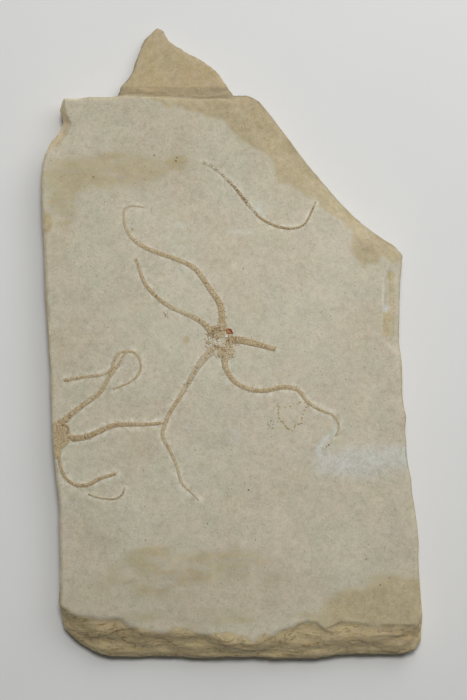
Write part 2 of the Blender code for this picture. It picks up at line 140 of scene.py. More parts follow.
def verticesOf(obj, what="co"):
    # an array of places in mm, or of normals
    flat = np.empty(len(obj.data.vertices) * 3)
    obj.data.vertices.foreach_get(what, flat)
    return flat.reshape(-1, 3) / (mm if what == "co" else 1)


def setVertices(obj, places):
    obj.data.vertices.foreach_set("co", (places * mm).astype(np.float32).ravel())
    obj.data.update()


def setAttribute(obj, name, values):
    layer = obj.data.attributes.get(name) or obj.data.attributes.new(name, "FLOAT", "POINT")
    layer.data.foreach_set("value", np.broadcast_to(values, len(obj.data.vertices)).astype(np.float32))


def setGroup(obj, name, weights, levels=16):
    # weights in a few levels are enough for a modifier, and quick to write
    group = obj.vertex_groups.new(name=name)
    steps = np.rint(np.clip(weights, 0, 1) * levels).astype(int)
    for step in range(1, levels + 1):
        found = np.nonzero(steps == step)[0]
        if len(found):
            group.add(found.tolist(), step / levels, "REPLACE")


def smoothStep(low, high, values):
    share = np.clip((values - low) / (high - low), 0, 1)
    return share * share * (3 - 2 * share)


def nearestOn(xy, line, closed=False):
    # distance in the plane from each point to a run of straight pieces, and its side: the left is positive
    points = np.array(line, dtype=float)[:, :2]
    ends = np.roll(points, -1, axis=0) if closed else points[1:]
    best = np.full(len(xy), 1e9)
    side = np.zeros(len(xy))
    for start, end in zip(points, ends):
        run = end - start
        share = np.clip(((xy - start) @ run) / max(run @ run, 1e-12), 0, 1)
        gap = xy - start - share[:, None] * run
        length = np.hypot(gap[:, 0], gap[:, 1])
        side = np.where(length < best, run[0] * gap[:, 1] - run[1] * gap[:, 0], side)
        best = np.minimum(best, length)
    return best, side


def insideDistance(xy, ring):
    # signed distance to a closed ring: positive inside
    points = np.array(ring, dtype=float)
    inside = np.zeros(len(xy), dtype=bool)
    for start, end in zip(points, np.roll(points, -1, axis=0)):
        if start[1] != end[1]:
            where = start[0] + (xy[:, 1] - start[1]) * (end[0] - start[0]) / (end[1] - start[1])
            inside ^= ((start[1] > xy[:, 1]) != (end[1] > xy[:, 1])) & (xy[:, 0] < where)
    gap = nearestOn(xy, ring, closed=True)[0]
    return np.where(inside, gap, -gap)


def insideOne(x, y, ring):
    return insideDistance(np.array([(x, y)]), ring)[0]


def blend(knots, t, first, second, low, high):
    return ((knots[high] - t) * first + (t - knots[low]) * second) / (knots[high] - knots[low])


def smoothLine(points, step):
    # a centripetal Catmull-Rom curve through the points, cut into equal steps: x, y, width
    points = [np.array(p, dtype=float) for p in points]
    points = [2 * points[0] - points[1], *points, 2 * points[-1] - points[-2]]
    dense = []
    for a, b, c, d in zip(points, points[1:], points[2:], points[3:]):
        knots = [0.0]
        for start, end in ((a, b), (b, c), (c, d)):
            knots.append(knots[-1] + max(np.hypot(*(end - start)[:2]), 1e-6) ** 0.5)
        for t in np.linspace(knots[1], knots[2], 24, endpoint=False):
            middle = blend(knots, t, b, c, 1, 2)
            before = blend(knots, t, blend(knots, t, a, b, 0, 1), middle, 0, 2)
            after = blend(knots, t, middle, blend(knots, t, c, d, 2, 3), 1, 3)
            dense.append(blend(knots, t, before, after, 1, 2))
    dense = np.array([*dense, points[-2]])
    along = np.concatenate([[0], np.cumsum(np.hypot(*np.diff(dense[:, :2], axis=0).T))])
    marks = np.linspace(0, along[-1], max(2, int(round(along[-1] / step)) + 1))
    return np.stack([np.interp(marks, along, dense[:, i]) for i in range(3)], axis=1)


def dress(piece, nodes, material):
    piece.data.materials.clear()
    piece.data.materials.append(material)
    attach(piece, "root")
    if nodes:
        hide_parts(*nodes)
    makeActive(piece)
    bpy.ops.object.shade_smooth()
    deselectAll()


class ShaderTree:
    # a material and the nodes that are added to it
    def __init__(self, name):
        self.material = bpy.data.materials.new(name)
        self.material.use_nodes = True
        self.nodes = self.material.node_tree.nodes
        self.counts = {}
        place = self.add("TexCoord").outputs["Object"]
        self.where = self.add("Mapping", {"Vector": place, "Scale": (1 / mm, 1 / mm, 1 / mm)}).outputs[0]

    def add(self, kind, inputs=None, **settings):
        # each node stands one column to the right of the last that feeds it
        node = self.nodes.new("ShaderNode" + kind)
        for key, value in settings.items():
            setattr(node, key, value)
        column = 0
        for key, value in (inputs or {}).items():
            if isinstance(value, bpy.types.NodeSocket):
                self.material.node_tree.links.new(value, node.inputs[key])
                column = max(column, round(value.node.location.x / 200) + 1)
            else:
                node.inputs[key].default_value = value
        self.counts[column] = self.counts.get(column, 0) + 1
        node.location = (200 * column, -200 * self.counts[column])
        return node

    def attribute(self, name):
        return self.add("Attribute", attribute_name=name).outputs["Fac"]

    def noise(self, scale, detail, distortion=0.0, stretch=None, output="Fac"):
        # centred on 0.5; scale is per millimetre
        where = self.where
        if stretch:
            where = self.add("Mapping", {"Vector": where, "Scale": stretch}).outputs[0]
        inputs = {"Vector": where, "Scale": scale, "Detail": detail, "Distortion": distortion}
        return self.add("TexNoise", inputs).outputs[output]

    def ramp(self, value, low, high):
        # eases from 0 at low to 1 at high
        inputs = {"Value": value, "From Min": low, "From Max": high}
        return self.add("MapRange", inputs, interpolation_type="SMOOTHSTEP").outputs["Result"]

    def math(self, operation, *values):
        return self.add("Math", dict(enumerate(values)), operation=operation).outputs[0]

    def vector(self, operation, *values):
        return self.add("VectorMath", dict(enumerate(values)), operation=operation).outputs[0]

    def times(self, first, *others):
        for other in others:
            first = self.math("MULTIPLY", first, other)
        return first

    def plus(self, total, part, amount=1.0):
        # total + part * amount
        return self.math("MULTIPLY_ADD", part, amount, total)

    def sway(self, total, noise, amount):
        # total, moved either way by a noise
        return self.plus(self.math("SUBTRACT", total, amount / 2), noise, amount)

    def inverse(self, share):
        return self.math("SUBTRACT", 1.0, share)

    def mix(self, share, first, second):
        # first where the share is 0, second where it is 1
        first, second = ((*value, 1.0) if isinstance(value, tuple) else value for value in (first, second))
        return self.add("Mix", {0: share, 6: first, 7: second}, data_type="RGBA").outputs[2]

    def toneRamp(self, tone, colours):
        ramp = self.add("ValToRGB", {"Fac": tone})
        stops = ramp.color_ramp.elements
        while len(stops) < len(colours):
            stops.new(0.5)
        for stop, (place, colour) in zip(stops, colours):
            stop.position = place
            stop.color = (*colour, 1)
        return ramp.outputs["Color"]

    def finish(self, colour, roughness, specular=0.5, normal=None):
        shader = self.nodes["Principled BSDF"]
        self.material.node_tree.links.new(colour, shader.inputs["Base Color"])
        shader.inputs["Roughness"].default_value = roughness
        shader.inputs["Specular IOR Level"].default_value = specular
        if normal:
            self.material.node_tree.links.new(normal, shader.inputs["Normal"])
        shader.location.x = 200 * (max(self.counts) + 1)
        self.nodes["Material Output"].location.x = shader.location.x + 300
        return self.material


studioBuild = {
    "cameraPlace": (0.667 * mm, -2.667 * mm, 714.0 * mm),  # straight above, 700 mm over the stone's face
    "cameraLens": 108.0,
    "key": ((0.23, 0.34, 0.49), 0.60, 1.86),  # place and size in m, power in W
    "fill": ((0.03, 0.32, 1.12), 0.26, 6.32),
    "target": (0, 0, 0.01),  # m
    "worldColour": (0.94, 0.97, 1.0), "worldStrength": 0.065,
    "floorSize": 6.0, "floorColour": (0.76, 0.76, 0.745), "floorShade": 0.985, "floorRoughness": 0.9,
    "floorSpecular": 0.2,
}


def buildStudio(build):
    print("studio: camera, lamps and floor")
    deselectAll()
    bpy.ops.object.camera_add(location=build["cameraPlace"], rotation=(0, 0, 0))
    scene.camera = bpy.context.object
    scene.camera.name = "studioCamera"
    scene.camera.data.lens = build["cameraLens"]
    scene.camera.data.clip_start = 0.01

    for name in ("key", "fill"):
        place, size, power = build[name]
        turn = (Vector(build["target"]) - Vector(place)).to_track_quat("-Z", "Y").to_euler()
        bpy.ops.object.light_add(type="AREA", location=place, rotation=turn)
        lamp = bpy.context.object
        lamp.name = name + "Lamp"
        lamp.data.shape = "DISK"
        lamp.data.size = size
        lamp.data.energy = power

    scene.world = bpy.data.worlds.new("softRoom")
    scene.world.use_nodes = True
    background = scene.world.node_tree.nodes["Background"]
    background.inputs["Color"].default_value = (*build["worldColour"], 1)
    background.inputs["Strength"].default_value = build["worldStrength"]

    bpy.ops.mesh.primitive_plane_add(size=build["floorSize"], location=(0, 0, 0))
    floor = bpy.context.object
    floor.name = "paleFloor"
    paper = ShaderTree("palePaper")
    pale = build["floorColour"]
    darker = tuple(channel * build["floorShade"] for channel in pale)
    colour = paper.mix(paper.ramp(paper.noise(0.02, 3), 0.3, 0.7), darker, pale)
    floor.data.materials.append(paper.finish(colour, build["floorRoughness"], build["floorSpecular"]))


buildStudio(studioBuild)


# line: x, y and width in mm along the arm's node. course: how the real arm lies off that line, as share of
# its length, mm to the left and times the width. root, tail: points by which it runs on under its disc, or to
# the arm it touches. tone: at the disc, halfway and at the tip (0 dark brown, 0.5 tan, 1 as pale as the
# stone). odd, fringe, gaps: how many odd plates, granules at the margins and missing segments there are near
# the disc. thin: how bony it is along its length. halo: width in mm and strength of the pale band beside it
arms = {
    "starArmLong": {
        "line": [(-3.2, 3.9, 2.5), (-2.9, 8.3, 2.3), (-3.5, 13.3, 2.1), (-7.2, 19.0, 1.8),
                 (-11.8, 24.8, 1.6), (-16.8, 27.4, 1.4), (-22.8, 29.5, 1.35), (-28.5, 31.7, 1.2),
                 (-33.2, 34.8, 1.0), (-35.7, 39.3, 0.85), (-35.8, 44.3, 0.75), (-33.6, 45.7, 0.6),
                 (-28.9, 45.0, 0.5)],
        "course": [(0.05, 0.15, 0.95), (0.2, 0.85, 1.0), (0.45, 0.35, 1.1), (0.65, 0.3, 1.25),
                   (0.85, -0.25, 1.25), (1.0, -0.1, 1.4)],
        "root": [(-3.7, 1.8, 3.0)], "tone": (0.46, 0.54, 0.72), "odd": 0.3, "fringe": 1.0,
        "halo": (0.7, 0.35),
    },
    "starArmBent": {
        "line": [(-6.7, 2.8, 2.5), (-9.8, 6.3, 2.1), (-14.8, 9.3, 1.6), (-20.5, 11.8, 1.45),
                 (-25.5, 15.7, 1.3), (-29.2, 20.0, 1.1), (-31.0, 25.3, 0.95), (-31.9, 27.8, 0.8)],
        "course": [(0.1, -0.25, 0.85), (0.3, 0.0, 1.0), (0.6, 0.05, 1.1), (0.85, -0.1, 1.3),
                   (1.0, 0.0, 1.4)],
        "root": [(-4.6, 1.3, 2.9)], "tone": (0.46, 0.5, 0.55), "odd": 0.8, "fringe": 1.4, "gaps": 0.15,
        "thin": (0.8, 0.6, 0.35, 0.35, 0.55, 0.9, 1.0, 1.0), "halo": (0.7, 0.4),
    },
    "starArmStub": {
        "line": [(1.1, 0.7, 2.7), (4.2, 0.8, 2.3), (8.8, 0.0, 2.0), (12.2, -1.5, 1.7), (14.6, -2.5, 1.5)],
        "course": [(0.05, 0.0, 0.95), (0.35, -0.65, 1.1), (0.6, -0.75, 0.95), (1.0, 0.15, 1.1)],
        "root": [(-1.5, 0.8, 2.9)], "tone": (0.42, 0.46, 0.48), "odd": 0.4, "fringe": 1.1,
        "halo": (0.6, 0.3),
    },
    "starArmRight": {
        "line": [(-2.5, -4.9, 2.2), (-2.3, -8.3, 1.9), (0.8, -13.2, 1.5), (5.8, -15.8, 1.35),
                 (11.0, -16.3, 1.3), (17.2, -14.9, 1.25), (22.2, -15.8, 1.1), (25.5, -19.7, 0.95),
                 (29.5, -22.3, 0.8), (33.8, -24.2, 0.7), (36.0, -28.0, 0.6), (34.8, -31.4, 0.5)],
        "course": [(0.1, 0.2, 1.05), (0.3, 0.1, 1.2), (0.45, -0.05, 1.3), (0.7, -0.3, 1.3),
                   (0.9, -0.1, 1.4)],
        "root": [(-2.7, -2.6, 2.6)], "tone": (0.5, 0.54, 0.66), "odd": 0.3, "fringe": 0.9,
        "halo": (0.9, 0.5),
    },
    "starArmDown": {
        "line": [(-7.0, -2.9, 2.4), (-10.2, -6.3, 2.1), (-13.5, -11.3, 1.7), (-17.5, -18.7, 1.5),
                 (-21.3, -24.8, 1.4), (-23.2, -31.3, 1.05), (-20.8, -36.0, 0.9), (-18.5, -41.3, 0.8),
                 (-16.5, -47.3, 0.7), (-13.2, -50.3, 0.55), (-10.9, -52.7, 0.5)],
        "course": [(0.05, 0.25, 1.1), (0.15, 0.45, 0.95), (0.35, 0.0, 0.95), (0.6, 0.25, 1.25),
                   (0.8, 0.2, 1.4), (1.0, -0.1, 1.4)],
        "root": [(-5.4, -1.2, 2.3)], "tone": (0.46, 0.56, 0.72), "odd": 1.2, "fringe": 1.6, "gaps": 0.4,
        "thin": (0.34, 0.45, 0.72, 0.9, 1.0), "halo": (0.8, 0.5),
    },
    "edgeStarArmLooped": {
        "line": [(-56.0, -25.9, 1.8), (-52.5, -22.8, 1.6), (-47.8, -19.3, 1.5), (-43.8, -16.3, 1.4),
                 (-40.5, -11.0, 1.2), (-37.2, -7.0, 1.05), (-35.3, -3.4, 0.9), (-32.3, -3.4, 0.8),
                 (-30.1, -7.7, 0.7), (-31.8, -11.8, 0.65), (-36.2, -14.4, 0.55), (-39.6, -15.6, 0.5)],
        "course": [(0.05, -0.4, 1.2), (0.25, -0.45, 1.1), (0.45, 0.0, 1.1), (0.6, -0.1, 1.2),
                   (0.9, 0.05, 1.35)],
        "root": [(-57.3, -26.8, 2.3)], "tone": (0.46, 0.56, 0.6), "odd": 0.4, "fringe": 0.8, "gaps": 0.1,
        "thin": (0.85, 0.85, 0.7, 0.65, 0.6, 0.6, 0.9, 0.6, 0.9), "halo": (0.9, 0.55),
    },
    "edgeStarArmMiddle": {
        "line": [(-52.8, -31.9, 1.8), (-48.7, -31.5, 1.6), (-43.8, -29.5, 1.35), (-39.5, -27.7, 1.2),
                 (-34.0, -27.3, 1.0), (-28.2, -27.3, 0.85), (-23.7, -27.0, 0.7)],
        "course": [(0.1, -0.25, 1.25), (0.4, -0.1, 1.4), (0.8, -0.2, 1.5), (1.0, -0.1, 1.6)],
        "root": [(-55.2, -31.7, 2.5)], "tail": [(-22.3, -27.0, 0.7)], "tone": (0.4, 0.44, 0.48),
        "odd": 0.25, "fringe": 0.6, "halo": (1.1, 0.75),
    },
    "edgeStarArmLower": {
        "line": [(-57.9, -37.3, 1.5), (-57.5, -40.5, 1.25), (-55.6, -45.2, 1.05), (-52.0, -47.7, 1.05),
                 (-48.0, -47.6, 1.1), (-43.8, -45.3, 1.05), (-38.4, -43.8, 0.75)],
        "course": [(0.05, 0.3, 0.85), (0.25, 0.2, 1.15), (0.5, 0.05, 1.25), (0.75, -0.15, 1.25),
                   (1.0, -0.1, 1.4)],
        "root": [(-57.6, -35.0, 2.1)], "tone": (0.46, 0.46, 0.44), "odd": 0.4, "fringe": 0.8,
        "thin": (0.6, 0.7, 0.7, 0.85, 0.9), "halo": (0.9, 0.55),
    },
    "edgeStarArmTip": {
        "line": [(-35.5, -48.7, 0.5), (-36.3, -51.0, 0.6), (-39.4, -52.4, 0.6), (-43.5, -51.9, 0.55),
                 (-47.8, -50.7, 0.5)],
        "course": [(0.1, -0.15, 1.25), (0.5, 0.0, 1.25), (0.8, 0.2, 1.35), (1.0, 0.0, 1.3)],
        "tone": (0.4, 0.36, 0.4), "odd": 0.2, "fringe": 0.0, "thin": (0.26, 0.33, 0.26), "halo": (0.8, 0.5),
    },
    "looseArm": {
        "line": [(-9.3, 60.0, 0.6), (-5.8, 58.3, 0.6), (-2.0, 54.8, 0.75), (2.2, 50.2, 1.0),
                 (6.0, 45.3, 0.95), (9.8, 41.0, 0.85), (14.5, 38.6, 0.85), (20.3, 37.8, 0.7),
                 (24.2, 39.2, 0.65), (26.6, 43.6, 0.6), (27.9, 46.9, 0.5)],
        "course": [(0.05, -0.2, 1.7), (0.25, 0.0, 1.15), (0.4, 0.0, 1.2), (0.6, 0.25, 1.15),
                   (0.75, 0.0, 1.2), (1.0, -0.2, 1.2)],
        "tone": (0.22, 0.34, 0.32), "odd": 1.2, "fringe": 0.9, "gaps": 0.8,
        "thin": (0.1, 0.12, 0.25, 0.6, 0.3, 0.6, 0.6, 0.5, 0.6, 0.35), "halo": (0.7, 0.5),
    },
    # the arm that the looped one crosses, grown into one piece with it
    "crossing": {
        "line": [(-55.8, -12.5, 0.7), (-49.8, -11.5, 0.9), (-43.8, -10.8, 0.9), (-40.3, -9.3, 0.95),
                 (-39.2, -6.0, 1.0), (-37.6, -3.4, 0.95), (-35.0, -2.8, 0.8)],
        "course": [(0.05, -0.3, 1.7), (0.3, -0.2, 1.3), (0.65, -0.15, 1.25), (1.0, -0.25, 1.3)],
        "halo": (0.9, 0.55),
    },
}


def nodeOf(pieceName):
    # starDisc is the finish of star_disc, and so on
    return "".join("_" + letter.lower() if letter.isupper() else letter for letter in pieceName)


def courseOf(arm, step=0.3):
    # the line as drawn, the line as it lies, and how much wider it is there
    marks, shifts, wider = np.array(arm["course"]).T
    fine = smoothLine(arm["line"], step)
    shares = np.linspace(0, 1, len(fine))
    ahead = np.gradient(fine[:, :2], axis=0)
    ahead /= np.linalg.norm(ahead, axis=1)[:, None]
    grow = np.interp(shares, marks, wider)
    laid = fine.copy()
    laid[:, :2] += np.stack([-ahead[:, 1], ahead[:, 0]], axis=1) * np.interp(shares, marks, shifts)[:, None]
    laid[:, 2] *= grow
    return fine, laid, grow


courses = {name: courseOf(arm) for name, arm in arms.items()}
laidLines = {name: [*map(tuple, laid[::5]), tuple(laid[-1])] for name, (fine, laid, grow) in courses.items()}


slabBuild = {
    "faceLevel": 14.0, "faceDepth": 1.6,  # mm, and how deep the fossils' beds may lie under it
    "voxel": 0.5, "triangles": 190000,
    "softenSteps": 64, "crestWear": 0.4, "rimWear": 0.025,
    # size, strength, depth, level in mm, and how thin the layers are
    "strata": (5.0, 0.85, 3, 0.52), "strataSqueeze": 0.22,
    "lumps": [("edgeLumps", 4.5, 0.55, 2, 0.52, "wall"), ("edgeGrain", 1.3, 0.7, 3, 0.5, "wall"),
              ("faceSwell", 26.0, 0.25, 2, 0.55, "face"), ("faceRipple", 5.0, 0.12, 2, 0.55, "face"),
              ("faceGrain", 1.1, 0.05, 3, 0.5, "face"), ("underLumps", 12.0, 0.4, 2, 0.2, "under")],
    # y and how far the right side is pushed out there, between two x, in mm
    "push": [(-2.0, 0.0), (2.0, 0.33), (7.0, 0.7), (12.0, 0.9), (17.0, 0.75), (21.0, 0.5), (27.0, 0.0)],
    "pushFrom": (52.5, 55.0),
    "boxGap": 0.01,  # mm
}
# outlines of the tan zones in mm; each runs past the stone on its outer side
tanZones = {
    "shoulder": [(-27.4, 80.1), (-18.9, 78.4), (-13.4, 77.1), (-7.4, 75.0), (-2.3, 73.3), (-0.6, 70.8),
        (3.2, 66.5), (7.5, 64.4), (12.2, 62.3), (14.3, 58.4), (15.1, 54.2), (19.4, 52.1), (24.5, 48.7),
        (27.5, 47.4), (30.5, 43.7), (34.8, 41.5), (37.6, 39.2), (41.0, 35.9), (40.4, 31.5), (40.4, 27.6),
        (43.7, 24.9), (49.3, 26.0), (50.4, 28.2), (54.2, 26.0), (57.0, 27.1), (70, 30), (70, 95),
        (-27, 95)],
    "notch": [(-56.7, 82.0), (-56.7, 79.3), (-54.8, 78.0), (-54.7, 74.0), (-54.5, 68.7), (-55.8, 68.0),
        (-57.5, 65.7), (-60.3, 65.3), (-68, 65.3), (-68, 90), (-56.7, 90)],
    "foot": [(-70, -86.0), (-58.5, -87.0), (-56.7, -88.3), (-53.1, -90.3), (-49.1, -91.9), (-42.4, -93.2),
        (-35.3, -94.1), (-29.9, -95.0), (-25.5, -96.3), (-21.9, -97.2), (-19.2, -95.5), (-14.7, -95.0),
        (-10.3, -96.8), (-6.3, -97.0), (-1.4, -96.5), (2.7, -97.6), (5.4, -98.5), (7.5, -99.3),
        (8.4, -98.1), (10.5, -96.8), (15.2, -97.7), (19.4, -96.6), (21.1, -94.1), (23.7, -93.0),
        (27.5, -93.0), (30.0, -95.8), (31.7, -97.5), (35.2, -96.4), (39.4, -95.8), (45.4, -95.3),
        (49.6, -94.3), (53.8, -93.8), (59.8, -94.3), (70, -93.7), (70, -120), (-70, -120)],
}
# the rim of the flat face, in mm
rimLine = [(-56.3, 81.7), (-57.7, 77.2), (-56.4, 74.0), (-60.6, 67.2), (-62.3, 63.0), (-63.6, 58.0),
    (-63.6, 47.3), (-63.1, 34.0), (-62.3, 14.0), (-61.4, -2.7), (-60.6, -17.7), (-60.3, -32.7),
    (-59.3, -41.0), (-58.1, -52.7), (-57.6, -64.3), (-57.3, -79.3), (-57.7, -89.5), (-57.0, -95.8),
    (-49.4, -102.6), (-37.2, -106.2), (-23.8, -106.0), (-7.2, -106.6), (9.5, -106.3), (26.5, -106.6),
    (43.5, -105.3), (60.8, -104.4), (64.2, -94.8), (62.8, -69.3), (60.8, -51.0), (58.8, -39.3),
    (58.0, -29.3), (57.3, -19.3), (56.5, -3.3), (55.8, 7.3), (56.3, 23.4), (57.8, 28.2), (44.3, 39.5),
    (31.3, 52.9), (18.6, 68.9), (6.8, 83.1), (-20.5, 83.8), (-37.0, 84.3), (-47.2, 82.1)]
# each chip's scar: x, y, z, half length, half width, half height in mm, then how far it leans over the edge
# and which way it points, in degrees
flakeScars = [(27.0, -99.0, 15.6, 8.0, 5.0, 2.5, 30, 4), (5.5, -103.0, 14.7, 7.0, 4.0, 2.4, 42, -6),
    (-46.0, -100.5, 14.4, 9.0, 5.0, 2.3, 30, -22), (-30.0, -101.5, 13.3, 8.0, 4.0, 1.9, 26, 6),
    (-14.5, -102.0, 13.7, 8.5, 4.0, 2.0, 30, -4), (44.0, -101.0, 13.7, 10.0, 4.5, 2.0, 28, 3),
    (58.5, -98.0, 14.1, 5.0, 4.5, 2.0, 26, 30), (-56.0, -91.5, 15.1, 3.0, 5.0, 1.6, 14, -38)]
# thin beds of the stone end here: points with the lower side on the right, then drop, reach and width, in mm
bedEnds = [
    ([(-52.2, -99.3), (-47.0, -99.0), (-42.0, -98.2), (-37.2, -96.0), (-32.2, -95.4)], 0.45, 5.0, 0.45),
    ([(-26.0, -98.6), (-23.0, -98.8), (-20.2, -100.4)], 0.4, 4.0, 0.4),
    ([(-3.6, -101.3), (0.5, -101.0), (4.4, -100.0)], 0.4, 4.0, 0.4),
    ([(49.5, -94.4), (55.0, -94.2), (60.2, -94.4)], 0.4, 5.0, 0.5),
    ([(46.2, -98.4), (53.0, -98.0), (59.4, -98.4)], 0.4, 4.0, 0.4),
    ([(20.4, -96.8), (22.0, -94.2), (25.0, -93.0), (28.6, -93.4), (31.4, -96.4), (34.8, -97.0)],
     0.5, 5.0, 0.45),
]


def closeBeds(slab, level, depth):
    # the fossils' beds and the whole face go, and one flat face closes the rim again
    def bedOrFace(face):
        high = min(v.co.z for v in face.verts) > level - depth
        return high and (face.normal.z > 0.9999 or abs(face.normal.z) < 0.02)

    selectFaces(slab, bedOrFace)
    bpy.ops.mesh.delete(type="FACE")
    edit = bmesh.from_edit_mesh(slab.data)
    for vert in [v for v in edit.verts if not v.link_faces]:
        edit.verts.remove(vert)
    bpy.ops.mesh.select_mode(type="EDGE")
    bpy.ops.mesh.select_all(action="DESELECT")
    for edge in [e for e in edit.edges if len(e.link_faces) == 1]:
        for vert in edge.verts:
            vert.co.z = level
        edge.select_set(True)
    bmesh.update_edit_mesh(slab.data)
    bpy.ops.mesh.edge_face_add()
    edit = bmesh.from_edit_mesh(slab.data)
    print("slab: open edges after closing", sum(len(e.link_faces) != 2 for e in edit.edges))
    leaveEdit()


def makeLens(place, size, turn, lean=0):
    # a ball stretched to the size in mm, turned and set down
    deselectAll()
    bpy.ops.mesh.primitive_ico_sphere_add(subdivisions=4, radius=1, location=(0, 0, 0))
    lens = bpy.context.object
    turned = Matrix.Rotation(math.radians(turn), 4, "Z") @ Matrix.Rotation(math.radians(lean), 4, "X")
    stretched = Matrix.Diagonal((*(Vector(size) * mm), 1))
    lens.data.transform(Matrix.Translation(Vector(place) * mm) @ turned @ stretched)
    return lens


def cutFlakes(slab):
    # each chip's scar is the bite of one lumpy lens
    bites = None
    for number, (x, y, z, long, wide, high, lean, point) in enumerate(flakeScars):
        cutter = makeLens((x, y, z), (long, wide, high), point, lean)
        displace(cutter, f"flakeLumps{number}", 3.0 + number % 3, 1.2)
        if bites:
            applyModifier(bites, "BOOLEAN", object=cutter, operation="UNION", solver="MANIFOLD")
            bpy.data.objects.remove(cutter)
        else:
            bites = cutter
    applyModifier(slab, "BOOLEAN", object=bites, operation="DIFFERENCE", solver="MANIFOLD")
    bpy.data.objects.remove(bites)


def zonesOf(xy):
    # how deep each place lies in the zones, in mm
    return {name: insideDistance(xy, ring) for name, ring in tanZones.items()}


def soften(slab, build):
    # worn-down ledges at the foot and an easy crest at the shoulder
    places = verticesOf(slab)
    xy, z = places[:, :2], places[:, 2]
    zones = zonesOf(xy)
    inner = insideDistance(xy, rimLine)
    foot = smoothStep(-2.5, 1.0, zones["foot"]) * smoothStep(1.5, 5.0, z) * smoothStep(0.2, 3.5, inner)
    crest = smoothStep(-3.0, 2.0, zones["shoulder"]) * smoothStep(8.6, 11.0, z) * smoothStep(0.0, 1.5, inner)
    rim = build["rimWear"] * (z > 10.5) * (np.abs(inner) < 3.0)
    setGroup(slab, "worn", np.maximum(np.maximum(foot, build["crestWear"] * crest), rim))
    applyModifier(slab, "SMOOTH", factor=0.5, iterations=build["softenSteps"], vertex_group="worn")
    slab.vertex_groups.clear()


def roughen(slab, build):
    # broken edges are layered by a flat-squeezed cloud, then lumpy; the face keeps to a gentle swell
    places, normals = verticesOf(slab), verticesOf(slab, "normal")
    z = places[:, 2]
    footDepth = zonesOf(places[:, :2])["foot"]
    upright = 1 - smoothStep(0.55, 0.97, np.abs(normals[:, 2]))
    foot = smoothStep(0.0, 3.0, footDepth) * (z > 1.0)
    rugged = np.clip(smoothStep(-6.0, -1.0, footDepth) + smoothStep(81.0, 83.0, places[:, 1]), 0.22, 1)
    wall = np.maximum(upright * rugged, 0.7 * foot) * smoothStep(0.0, 1.2, z)
    setGroup(slab, "wall", wall)
    setGroup(slab, "face", (normals[:, 2] > 0.8) * (1 - wall))
    setGroup(slab, "under", (normals[:, 2] < -0.8) * 1.0)
    bpy.ops.object.empty_add(location=(0, 0, 0))
    squeeze = bpy.context.object
    squeeze.scale = (1, 1, build["strataSqueeze"])
    bpy.context.view_layer.update()
    displace(slab, "strata", *build["strata"], texture_coords="OBJECT", texture_coords_object=squeeze,
             vertex_group="wall")
    bpy.data.objects.remove(squeeze)
    for *cloud, group in build["lumps"]:
        displace(slab, *cloud, vertex_group=group)
    slab.vertex_groups.clear()


def layerEdges(slab):
    # beyond the end of each bed the side nearer the rim lies lower
    places = verticesOf(slab)
    xy = places[:, :2]
    for line, step, reach, width in bedEnds:
        away, side = nearestOn(xy, line)
        start, run = np.array(line[0]), np.subtract(line[-1], line[0])
        along = (xy - start) @ run / (run @ run)
        ends = smoothStep(0, 0.12, along) * (1 - smoothStep(0.88, 1, along))
        drop = step * smoothStep(0, width, away) * (1 - smoothStep(reach * 0.4, reach, away)) * (side < 0)
        places[:, 2] -= drop * ends * (places[:, 2] > 5)
    setVertices(slab, places)


def keepInBox(obj, gap):
    low, high = np.array(cadBox) / mm
    setVertices(obj, np.clip(verticesOf(obj), low + gap, high - gap))


def straighten(slab, marks, left, right):
    # pushes the slab's right side out
    places = verticesOf(slab)
    push = np.interp(places[:, 1], *np.array(marks).T, left=0, right=0)
    places[:, 0] += push * smoothStep(left, right, places[:, 0])
    setVertices(slab, places)


slab = copyNode("slab", "limestoneSlab")
closeBeds(slab, slabBuild["faceLevel"] * mm, slabBuild["faceDepth"] * mm)
print("slab: wear")
remesh(slab, slabBuild["voxel"])
soften(slab, slabBuild)
print("slab: chips")
cutFlakes(slab)
remesh(slab, slabBuild["voxel"])
print("slab: layers and rough edges")
layerEdges(slab)
roughen(slab, slabBuild)
keepInBox(slab, slabBuild["boxGap"])
applyModifier(slab, "DECIMATE", ratio=slabBuild["triangles"] / (2 * len(slab.data.polygons)))
print("slab: triangles", len(slab.data.polygons))


